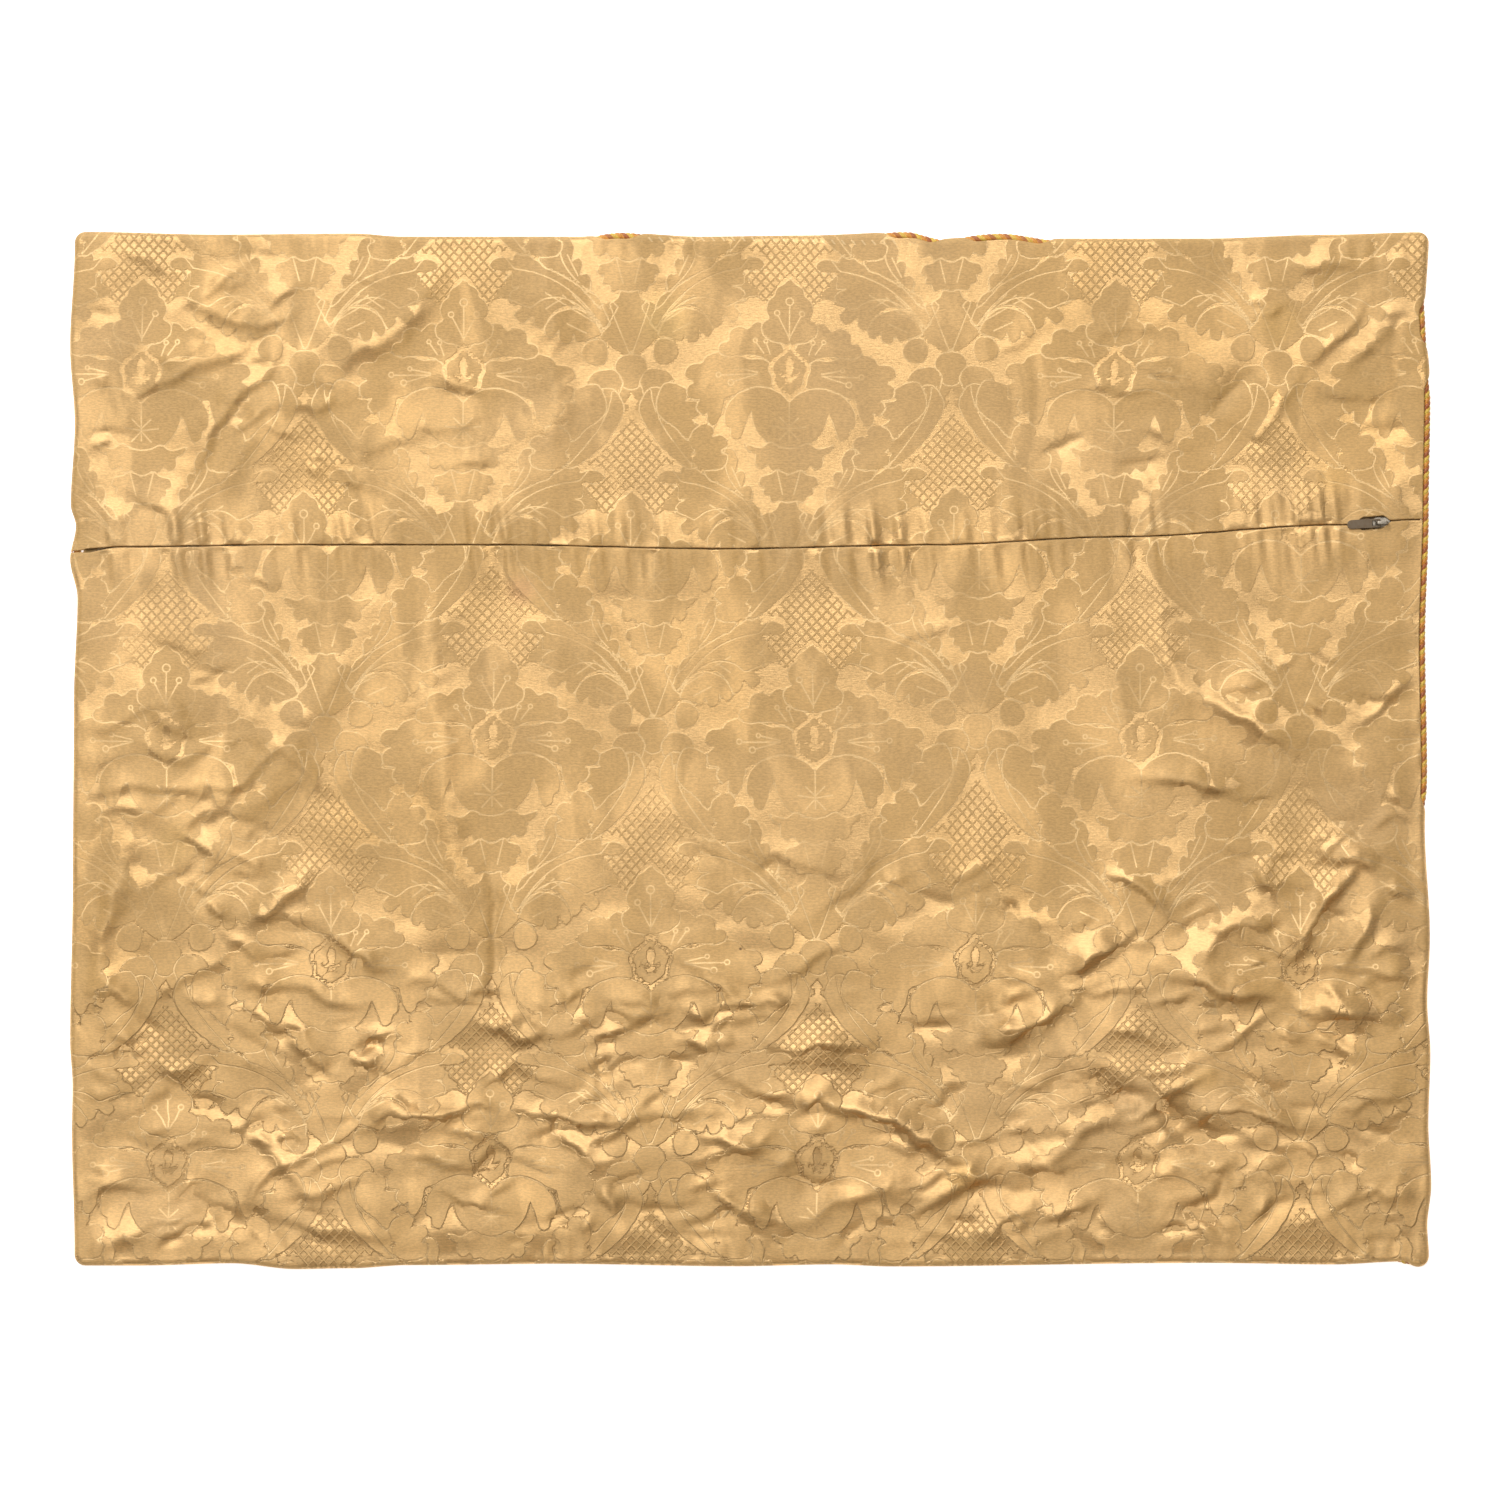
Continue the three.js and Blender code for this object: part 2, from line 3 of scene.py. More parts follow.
import bmesh
import bpy
import numpy as np
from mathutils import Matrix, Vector


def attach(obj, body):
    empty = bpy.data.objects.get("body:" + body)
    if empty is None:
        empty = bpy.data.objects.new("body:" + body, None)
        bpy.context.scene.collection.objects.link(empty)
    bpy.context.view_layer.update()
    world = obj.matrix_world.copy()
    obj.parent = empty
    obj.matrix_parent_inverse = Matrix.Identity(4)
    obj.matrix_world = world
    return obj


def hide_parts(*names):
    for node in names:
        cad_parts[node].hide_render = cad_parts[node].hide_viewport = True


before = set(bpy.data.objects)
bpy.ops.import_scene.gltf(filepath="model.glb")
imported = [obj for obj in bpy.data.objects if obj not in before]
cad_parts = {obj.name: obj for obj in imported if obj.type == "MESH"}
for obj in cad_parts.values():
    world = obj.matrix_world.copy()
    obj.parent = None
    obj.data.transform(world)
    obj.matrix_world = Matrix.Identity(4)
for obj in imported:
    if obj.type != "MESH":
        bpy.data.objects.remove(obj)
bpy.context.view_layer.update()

# An empty gold damask cushion cover lying face down, seen from straight above.
# Sizes are in millimetres until a mesh is written, and then in metres.
mm = 0.001

cover = {
    "halfWidth": 305.9,
    "halfHeight": 233.1,
    "cloth": 0.8,          # thickness of the silk
    "cordRadius": 1.8,
    "cordGap": 0.15,
    "cornerRadius": 5.0,
    "rollStart": -12.0,    # degrees from level where the rolled edge starts at its seam
    "bareStart": 86.0,     # and where the cord is bare
    "bareInset": 1.3,
    "looseLevel": 4.6,
    "zipLevel": 5.3,
    "lowest": 2.8,
}
rollRadius = cover["cordRadius"] + cover["cloth"] + cover["cordGap"]

# how far each edge falls inside the plain rectangle, along that edge
outline = {
    "left": [(-222.9, 2.0), (-170.4, 0.8), (-150.2, 1.1), (-130.4, 0), (-58.1, 1.2), (22.7, 1.7),
             (68.5, 3.3), (86, 0), (100.8, 2.6), (110, 0.3), (146, 2.1), (180, 0), (224.7, 2.1)],
    "right": [(-225.2, 1.1), (-212.6, 1.8), (-194.2, 0), (-166.4, 1.3), (-135.4, 0.4), (-112, 1.8),
              (-83, 0.6), (-34.3, 2.9), (-11, 1.8), (50.5, 2.7), (108, 1.1), (160.5, 0.4),
              (196, 2.7), (230.1, 1.1)],
    "bottom": [(-275.5, 1.6), (-233, 2.6), (-204.6, 0), (-179.4, 0.4), (-154.3, 1.8), (-88.7, 2.4),
               (-7, 1.3), (36.5, 2.1), (63, 1.2), (202.6, 2.8), (261.5, 2.1), (291.1, 3.4),
               (298.8, 1)],
    "top": [(-296.6, 0), (-240, 1.2), (-178.1, 0.7), (-157.4, 2.1), (-76.6, 2.1), (-60, 0.3),
            (-22.7, 2.1), (22.2, 1.6), (71.5, 0), (85, 3), (114.2, 0.7), (134.4, 3), (201.7, 3),
            (260.1, 1.2), (302.3, 0.1)],
}
# stretches where the back slips inwards and the trim cord shows past it: from, to
bareCord = {
    "left": [],
    "right": [(-19.1, 160.5), (186.1, 194.6)],
    "bottom": [],
    "top": [(-64.1, -56), (65.7, 78.7), (102.1, 128.1)],
}
bareRamp = 12
zipRun = [(-304.7, 89.1), (-279.6, 91.4), (-207.3, 92.3), (-112.5, 92.3), (-9.7, 90.5), (85, 92.3),
          (169, 95.9), (269.1, 101.3), (303.7, 103.7)]


def smoothStep(low, high, value):
    share = np.clip((value - low) / (high - low), 0, 1)
    return share * share * (3 - 2 * share)


def blendOf(a, b, share):
    return a + (b - a) * share


# reads a two-column table, easing between its rows
def follow(table, at):
    at = np.asarray(at, float)
    places = np.array([row[0] for row in table])
    values = np.array([row[1] for row in table])
    index = np.clip(np.searchsorted(places, at) - 1, 0, len(places) - 2)
    share = smoothStep(places[index], places[index + 1], at)
    return blendOf(values[index], values[index + 1], share)


def bareness(edge, at):
    bare = np.zeros(np.shape(at))
    for start, end in bareCord[edge]:
        ramp = smoothStep(start - bareRamp, start, at) * (1 - smoothStep(end, end + bareRamp, at))
        bare = np.maximum(bare, ramp)
    return bare


def zipY(x):
    return follow(zipRun, x)


# the trim cord's centre inside the plain rectangle
def cordInset(edge, at):
    return follow(outline[edge], at) + blendOf(rollRadius, cover["cordRadius"], bareness(edge, at))


# where the back lies at a length of cloth from its seam: inset from the rectangle, and drop
def rolledEdge(edge, at, length):
    bare = bareness(edge, at)
    start = np.radians(blendOf(cover["rollStart"], cover["bareStart"], bare))
    arc = rollRadius * (math.pi / 2 - start)
    angle = start + np.minimum(length, arc) / rollRadius
    centre = cordInset(edge, at) + cover["bareInset"] * bare
    inset = centre - rollRadius * np.cos(angle) + np.maximum(0, length - arc)
    return inset, rollRadius * (1 - np.sin(angle))


# Soft noise from a few seeded waves, about -1 to 1
def softNoise(x, y, wavelength, seed, stretch=1.0, waves=9):
    source = np.random.default_rng(seed)
    total = np.zeros(np.shape(x))
    for turn, phase, size in source.random((waves, 3)):
        angle = 2 * math.pi * turn
        pitch = wavelength * (0.65 + 0.9 * size)
        along = (x * math.cos(angle) / stretch + y * math.sin(angle)) * 2 * math.pi / pitch
        total += np.sin(along + 2 * math.pi * phase)
    return total / math.sqrt(waves)


# Folds of the back: height (below 0, a trough), the reach to either side, how much further
# it reaches on its left side than on its right, and the run of the crease
folds = [
    (1.49, 13, -0.2, [(-261, 99), (-225, 139), (-202, 171), (-175, 198), (-148, 226)]),
    (1.75, 8, 0.4, [(-256, 119), (-247, 134), (-239, 149), (-228, 162), (-219, 170), (-211, 181)]),
    (1.35, 10.5, 0.35, [(-190, 168), (-176, 179), (-158, 191), (-145, 203), (-138, 214)]),
    (1.5, 6.5, 0.4, [(-251, 201), (-240, 195), (-230, 191), (-216, 191), (-206, 196)]),
    (1.3, 6.4, 0.35, [(-262, 166), (-250, 172), (-240, 177), (-229, 184)]),
    (1.12, 4, 0.5, [(-232, 140), (-224, 148), (-214, 153)]),
    (1.24, 6, 0, [(-245, 204), (-233, 214), (-222, 221)]),
    (1.24, 6, 0, [(-267, 170), (-245, 184)]),
    (-0.558, 3, 0, [(-303, 149), (-294, 149)]),
    (-0.682, 3, 0, [(-303, 143), (-276, 143)]),
    (-0.496, 3, 0, [(-302, 195), (-285, 195)]),
    (1.61, 13, 0.1, [(-92, 229), (-88, 185), (-90, 118)]),
    (-1.12, 5, 0, [(204, 151), (223, 171)]),
    (1.05, 4.5, 0.5, [(249, 172), (262, 184), (276, 197)]),
    (0.728, 4, 0.3, [(266, 171), (280, 186), (292, 197)]),
    (0.694, 4, -0.3, [(226, 140), (238, 156), (246, 168)]),
    (-0.62, 3, 0, [(288, 193), (300, 193)]),
    (-0.806, 4, 0, [(275, 141), (292, 145), (299, 143)]),
    (-0.558, 4, 0, [(132, 133), (150, 139)]),
    (1.12, 4.5, 0.5, [(-302, -22), (-280, -15), (-251, -18), (-235, -22)]),
    (1.5, 6, 0.5, [(-235, -22), (-227, -12), (-216, 0), (-207, 9)]),
    (1.5, 13, -0.1, [(-256, -63), (-220, -18), (-189, 32), (-171, 63)]),
    (1.5, 18, 0, [(-272, 8), (-250, 22)]),
    (0.744, 3, 0.5, [(-237, 82), (-223, 81)]),
    (0.744, 3, 0.5, [(-230, 77), (-210, 77)]),
    (1.5, 11, 0, [(-148, 84), (-141, 22), (-133, -45), (-124, -112)]),
    (-1.2, 4, 0.3, [(-117, -50), (-115, -114)]),
    (2.39, 8.5, 0.2, [(-296, -108), (-279, -45)]),
    (1.84, 3.4, 0.5, [(-303, -109), (-284, -109)]),
    (2.02, 4.2, 0.5, [(-294, -102), (-284, -109), (-276, -118)]),
    (1.84, 3.4, 0.5, [(-241, -69), (-233, -76)]),
    (1.66, 3.4, 0.5, [(-226, -104), (-216, -108)]),
    (1.66, 6, 0.3, [(-226, -80), (-211, -66), (-196, -56)]),
    (2.39, 4.2, 0.5, [(-189, -83), (-176, -88), (-166, -97)]),
    (2.02, 3.4, 0.5, [(-180, -138), (-170, -145)]),
    (3.31, 5.1, 0.55, [(-166, -164), (-146, -165), (-130, -161)]),
    (-2.76, 4.7, 0.3, [(-228, -203), (-219, -216), (-212, -229)]),
    (1.47, 3.4, 0.4, [(-304, -192), (-296, -192)]),
    (2.39, 4.2, 0.5, [(-120, -124), (-104, -130), (-92, -128)]),
    (2.76, 4.7, 0.55, [(-101, -164), (-76, -166), (-51, -164)]),
    (2.02, 3.4, 0.5, [(-69, -198), (-58, -207)]),
    (1.84, 3, 0.5, [(-30, -117), (-19, -117)]),
    (2.21, 3.4, 0.5, [(-14, -117), (10, -114)]),
    (1.84, 3.4, 0.5, [(-32, -130), (-14, -134)]),
    (2.39, 4.2, 0.55, [(10, -132), (32, -134), (50, -133)]),
    (2.39, 4.2, 0.5, [(-18, -174), (4, -178)]),
    (4.05, 6.8, 0.6, [(20, -158), (47, -161), (66, -168), (84, -180), (101, -186)]),
    (2.02, 4.7, 0.1, [(22, -214), (40, -201), (68, -196), (98, -190)]),
    (2.39, 5.1, 0.5, [(70, -206), (94, -197), (110, -190)]),
    (2.58, 3.8, 0.3, [(168, -166), (190, -153), (205, -146)]),
    (2.39, 7.6, 0.35, [(112, -197), (140, -178), (170, -160)]),
    (3.31, 5.1, 0.55, [(108, -132), (124, -123), (143, -114)]),
    (3.13, 4.7, 0.55, [(143, -99), (156, -92), (170, -84)]),
    (2.39, 4.7, 0.5, [(161, -56), (174, -62), (186, -73)]),
    (4.05, 6, 0.6, [(190, -101), (208, -107), (228, -111), (240, -112)]),
    (2.39, 6.8, 0.2, [(197, -98), (224, -71)]),
    (3.31, 5.1, 0.55, [(252, -113), (268, -117), (284, -119)]),
    (3.13, 4.2, 0.5, [(238, -96), (246, -90), (258, -68), (272, -52)]),
    (2.21, 4.2, 0.5, [(284, -60), (298, -64)]),
    (2.21, 4.2, 0.4, [(266, -96), (276, -82), (282, -66)]),
    (2.02, 3.4, 0.5, [(284, -101), (303, -106)]),
    (3.5, 5.5, 0.6, [(194, -168), (210, -161), (232, -165), (248, -168)]),
    (2.39, 4.2, 0.5, [(129, -210), (153, -203)]),
    (1.84, 4.2, 0.5, [(280, -199), (303, -202)]),
    (2.55, 6.5, 0.55, [(178, -13), (200, -14), (222, -20)]),
    (1.65, 5, 0.5, [(285, -21), (299, -27)]),
    (2.7, 6, 0.55, [(258, -46), (272, -50), (284, -55)]),
    (1.95, 10, -0.1, [(179, 78), (193, 27), (242, 5), (275, -6)]),
    (1.05, 3, 0.5, [(292, 56), (302, 56)]),
]
# broad puffs of air under the loose cloth: x, y, height, reach
puffs = [(190, -90, 2.6, 110), (-60, -140, 1.6, 120), (-230, 10, 1.2, 70), (60, 20, 0.9, 120)]
crumple = {"folds": 1.4, "zipPucker": 1.15, "edgePucker": 0.26}
# layers between the folds: height, share of it in the smooth parts, wavelength, seed, stretch
swells = [(0.5, 0.35, 62, 11, 1.5), (0.16, 0.4, 21, 12, 1.3)]
domeLayers = [(0.65, 0.12, 66, 13, 1.7), (0.5, 0.12, 30, 14, 1.9)]


# height that one fold adds, fading towards both ends of its run; a lean above 0 makes its
# right side the steep one, which on a run drawn from left to right faces down the picture
def addFold(relief, fold, x, y):
    height, reach, lean, run = fold
    run = np.array(run, float)
    room = 5 * reach
    low, high = run.min(axis=0) - room, run.max(axis=0) + room
    near = (x > low[0]) & (x < high[0]) & (y > low[1]) & (y < high[1])
    if not near.any():
        return
    px, py = x[near], y[near]
    lengths = np.hypot(*(run[1:] - run[:-1]).T)
    reached = np.concatenate([[0], np.cumsum(lengths)]) / lengths.sum()
    best = np.full(px.shape, 1e9)
    place, side = np.zeros(px.shape), np.zeros(px.shape)
    for k in range(len(run) - 1):
        ax, ay = run[k]
        dx, dy = run[k + 1] - run[k]
        along = np.clip(((px - ax) * dx + (py - ay) * dy) / (dx * dx + dy * dy), 0, 1)
        offX, offY = px - ax - dx * along, py - ay - dy * along
        distance = np.hypot(offX, offY)
        closer = distance < best
        best = np.where(closer, distance, best)
        place = np.where(closer, blendOf(reached[k], reached[k + 1], along), place)
        side = np.where(closer, np.tanh((dx * offY - dy * offX) / np.hypot(dx, dy)), side)
    away = best / (reach * (1 + lean * side))
    ends = 0.3 + 0.7 * smoothStep(0, 0.35, np.minimum(place, 1 - place))
    profile = np.exp(-1.5 * (np.sqrt(away * away + 0.06) - 0.245) - 0.25 * away * away)
    relief[near] += crumple["folds"] * height * ends * profile


# short wrinkles scattered by a seed: mostly level, steep on the side away from the light
def smallWrinkles(area, count, seed, height, reach):
    source = np.random.default_rng(seed)
    made = []
    for a, b, c, d, e, f in source.random((count, 6)):
        x, y = blendOf(area[0], area[2], a), blendOf(area[1], area[3], b)
        turn, length = math.radians(80) * (c - 0.5), 9 + 34 * d * d
        dx, dy = length * math.cos(turn) / 2, length * math.sin(turn) / 2
        bow = length * 0.16 * (f - 0.5)
        sign = 1 if f > 0.3 else -1
        made.append((sign * height * (0.35 + 0.9 * e), reach * (0.7 + 0.7 * d), 0.5 * sign,
                     [(x - dx, y - dy), (x - dy * 0.1, y + bow), (x + dx, y + dy)]))
    return made


# x and y from, x and y to, how many, seed, height, reach
wrinkleAreas = [
    ((-300, -228, 300, -95), 120, 61, 1.5, 3.2),
    ((-300, -226, 300, -105), 170, 68, 1.1, 2.3),
    ((-300, -120, 300, -40), 36, 62, 0.9, 4.0),
    ((200, -100, 303, 40), 34, 63, 1.2, 3.0),
    ((-303, -100, -200, 30), 26, 69, 0.9, 3.0),
    ((-303, -60, -220, 60), 14, 64, 0.45, 4.0),
    ((-303, 100, -120, 228), 30, 65, 0.75, 4.2),
    ((150, 110, 303, 228), 20, 66, 0.7, 4.4),
    ((-230, -20, 200, 220), 18, 67, 0.35, 4.5),
]
wrinkles = [wrinkle for row in wrinkleAreas for wrinkle in smallWrinkles(*row)]


# smooth domes with creases between them, about 0 on average
def domes(x, y, wavelength, seed, stretch):
    wave = softNoise(x, y, wavelength, seed, stretch, 8)
    return np.sqrt(wave * wave + 0.015) - 0.6


# how the creases wander: wavelength, then size and seed along x and along y
wander = [(34, 1.3, 21, 1.5, 23), (13, 0.6, 22, 0.7, 24), (7, 0.3, 25, 0.35, 26)]


def looseRelief(x, y):
    relief = np.zeros(x.shape)
    bentX, bentY = x, y
    for wavelength, sizeX, seedX, sizeY, seedY in wander:
        bentX = bentX + sizeX * softNoise(x, y, wavelength, seedX)
        bentY = bentY + sizeY * softNoise(x, y, wavelength, seedY)
    for fold in folds + wrinkles:
        addFold(relief, fold, bentX, bentY)
    for px, py, height, reach in puffs:
        relief += height * np.exp(-((x - px) ** 2 + (y - py) ** 2) / reach ** 2)
    low = smoothStep(60, -190, y)
    rumpled = np.maximum(smoothStep(-20, -110, y), 0.55 * smoothStep(190, 280, np.abs(x)))
    for height, smooth, wavelength, seed, stretch in swells:
        relief += height * blendOf(smooth, 1, low) * softNoise(x, y, wavelength, seed, stretch)
    for height, smooth, wavelength, seed, stretch in domeLayers:
        relief += height * blendOf(smooth, 1, rumpled) * domes(x, y, wavelength, seed, stretch)
    return relief


# small gathers that stand across a seam: place along it, distance from it, and their pitch
def gathers(along, distance, pitch, seed, reach):
    wave = softNoise(along, np.zeros(np.shape(along)), pitch, seed, 1.0, 7)
    strength = 0.55 + 0.45 * softNoise(along, np.zeros(np.shape(along)), pitch * 6, seed + 1)
    bow = distance / reach
    return wave * strength * np.exp(-bow * bow)


# round the slider the cloth has no gathers
sliderRoom = {"from": (262, 274), "to": (290, 300), "across": (6, 12)}
overTapeEnds = (10, 24)      # from the zip, where the cloth comes off its tape
rimEnds = (4, 17)            # from the outer edge, where the cloth comes off the cord


# top of the back away from its rolled rim: x, y and the distance to the nearest outer edge
def backLevel(x, y, rim):
    relief = looseRelief(x, y)
    toZip = np.abs(y - zipY(x))
    loose = np.maximum(cover["lowest"], cover["looseLevel"] + relief)
    overTape = cover["zipLevel"] + 0.3 * np.maximum(0, relief)
    level = blendOf(overTape, loose, smoothStep(*overTapeEnds, toZip))
    nearSlider = smoothStep(*sliderRoom["from"], x) * (1 - smoothStep(*sliderRoom["to"], x))
    nearSlider = nearSlider * (1 - smoothStep(*sliderRoom["across"], toZip))
    pucker = crumple["zipPucker"] * gathers(x + 0.12 * (y - zipY(x)), toZip, 8.5, 31, 15)
    level += np.maximum(pucker, -0.6) * (1 - nearSlider) * smoothStep(0, 3, toZip)
    fromTop = cover["halfHeight"] - np.abs(y)
    fromSide = cover["halfWidth"] - np.abs(x)
    level = blendOf(cover["cordRadius"] + rollRadius, level, smoothStep(*rimEnds, rim))
    ripples = (1 + 1.2 * smoothStep(0, -100, y)) * gathers(x, fromTop - 5, 11, 41, 10)
    ripples += 1.2 * gathers(y, fromSide - 5, 12, 43, 10)
    return level + crumple["edgePucker"] * np.maximum(ripples, -1.6) * smoothStep(1.5, 5, rim)


# turns the corner square of a pair of insets into a quarter disc
def roundCorner(across, up, radius):
    a = np.clip(1 - across / radius, 0, 1)
    b = np.clip(1 - up / radius, 0, 1)
    inside = (across < radius) & (up < radius)
    newAcross = radius * (1 - a * np.sqrt(1 - b * b / 2))
    newUp = radius * (1 - b * np.sqrt(1 - a * a / 2))
    return np.where(inside, newAcross, across), np.where(inside, newUp, up)


# Grid lines across one direction: lengths of cloth from its start and from its end, and
# even shares between
class GridLines:
    def __init__(self, startLines, endLines, length, step):
        count = max(2, round((length - startLines[-1] - endLines[-1]) / step))
        first = len(startLines)
        last = first + count - 1
        index = np.arange(last + len(endLines))
        self.isStart, self.isEnd = index < first, index >= last
        self.share = np.where(self.isStart | self.isEnd, 0, (index - first + 1) / count)
        self.start = np.append(startLines, np.zeros(len(index) - first))
        self.end = np.append(np.zeros(last), endLines[::-1])

    def upwards(self):
        for key, values in vars(self).items():
            setattr(self, key, values[:, None])
        return self

    # even between low and high, and at both ends where the cloth's lengths put it
    def spread(self, low, high, atStart, atEnd):
        between = blendOf(low, high, self.share)
        return np.where(self.isStart, atStart, np.where(self.isEnd, atEnd, between))


rimLines = [0, 0.5, 1.05, 1.6, 2.2, 2.8, 3.4, 4.1, 4.9, 5.9, 7, 8.2, 9.5, 11]
lipLines = [0, 0.3, 0.7, 1.3, 2.2, 3.4, 4.8]


# a closed thin sheet: a fine grid above and a coarse one below, joined along their rims
def clothShell(name, top, low, every):
    bm = bmesh.new()
    rows, columns = top.shape[:2]
    across, up = columns - 1, rows - 1
    bmesh.ops.create_grid(bm, x_segments=across, y_segments=up, size=0.5)
    bmesh.ops.translate(bm, vec=(0.5, 0.5, 0), verts=bm.verts)
    bmesh.ops.scale(bm, vec=(across, up, 1), verts=bm.verts)
    keepColumns = coarseLines(columns, every)
    keepRows = coarseLines(rows, every)
    under = bmesh.ops.create_grid(
        bm, x_segments=len(keepColumns) - 1, y_segments=len(keepRows) - 1, size=0.5)["verts"]
    for vert in under:
        i = round((vert.co.x + 0.5) * (len(keepColumns) - 1))
        j = round((vert.co.y + 0.5) * (len(keepRows) - 1))
        vert.co = (keepColumns[i], keepRows[j], -1)
    underFaces = {face for vert in under for face in vert.link_faces}
    bmesh.ops.reverse_faces(bm, faces=list(underFaces))
    for cuts in sorted({b - a - 1 for a, b in zip(keepRows, keepRows[1:])}
                       | {b - a - 1 for a, b in zip(keepColumns, keepColumns[1:])}):
        wide = [edge for edge in bm.edges
                if edge.is_boundary and round(edge.calc_length()) == cuts + 1]
        if cuts > 0 and wide:
            bmesh.ops.subdivide_edges(bm, edges=wide, cuts=cuts)
    rim = [edge for edge in bm.edges if edge.is_boundary]
    bmesh.ops.bridge_loops(bm, edges=rim)
    bmesh.ops.recalc_face_normals(bm, faces=bm.faces)
    mesh = bpy.data.meshes.new(name)
    bm.to_mesh(mesh)
    bm.free()
    grid = np.empty(len(mesh.vertices) * 3, np.float32)
    mesh.vertices.foreach_get("co", grid)
    grid = grid.reshape(-1, 3)
    i = np.rint(grid[:, 0]).astype(int)
    j = np.rint(grid[:, 1]).astype(int)
    above = grid[:, 2] > -0.5
    points = np.where(above[:, None], top[j, i], low[j, i]) * mm
    mesh.vertices.foreach_set("co", points.astype(np.float32).ravel())
    mesh.polygons.foreach_set("use_smooth", np.ones(len(mesh.polygons), bool))
    mesh.update()
    return mesh, i, j


# every line near both ends of a direction, and each so many between
def coarseLines(count, every):
    margin = 15
    lines = list(range(min(margin, count)))
    last = lines[-1]
    while last + every < count - margin:
        last += every
        lines.append(last)
    return lines + list(range(max(last + 1, count - margin), count))


def underSide(top, thickness):
    across = np.gradient(top, axis=1)
    up = np.gradient(top, axis=0)
    normal = np.cross(across, up)
    normal /= np.linalg.norm(normal, axis=2, keepdims=True) + 1e-9
    return top - normal * thickness


def writeUv(mesh, name, u, v):
    layer = mesh.uv_layers.new(name=name)
    corner = np.empty(len(mesh.loops), np.int32)
    mesh.loops.foreach_get("vertex_index", corner)
    layer.data.foreach_set("uv", np.stack([u[corner], v[corner]], axis=1).astype(np.float32).ravel())


def writeAttribute(mesh, name, values):
    layer = mesh.attributes.new(name, "FLOAT", "POINT")
    layer.data.foreach_set("value", values.astype(np.float32))


def newObject(name, mesh):
    made = bpy.data.objects.new(name, mesh)
    bpy.context.scene.collection.objects.link(made)
    return made


def newPiece(name, bm, materials):
    mesh = bpy.data.meshes.new(name)
    bm.to_mesh(mesh)
    bm.free()
    for material in materials:
        mesh.materials.append(material)
    return newObject(name, mesh)


def fixToCover(made, node=None):
    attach(made, "root")
    if node:
        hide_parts(node)
    print(made.name, "made with", len(made.data.polygons), "faces")
    return made


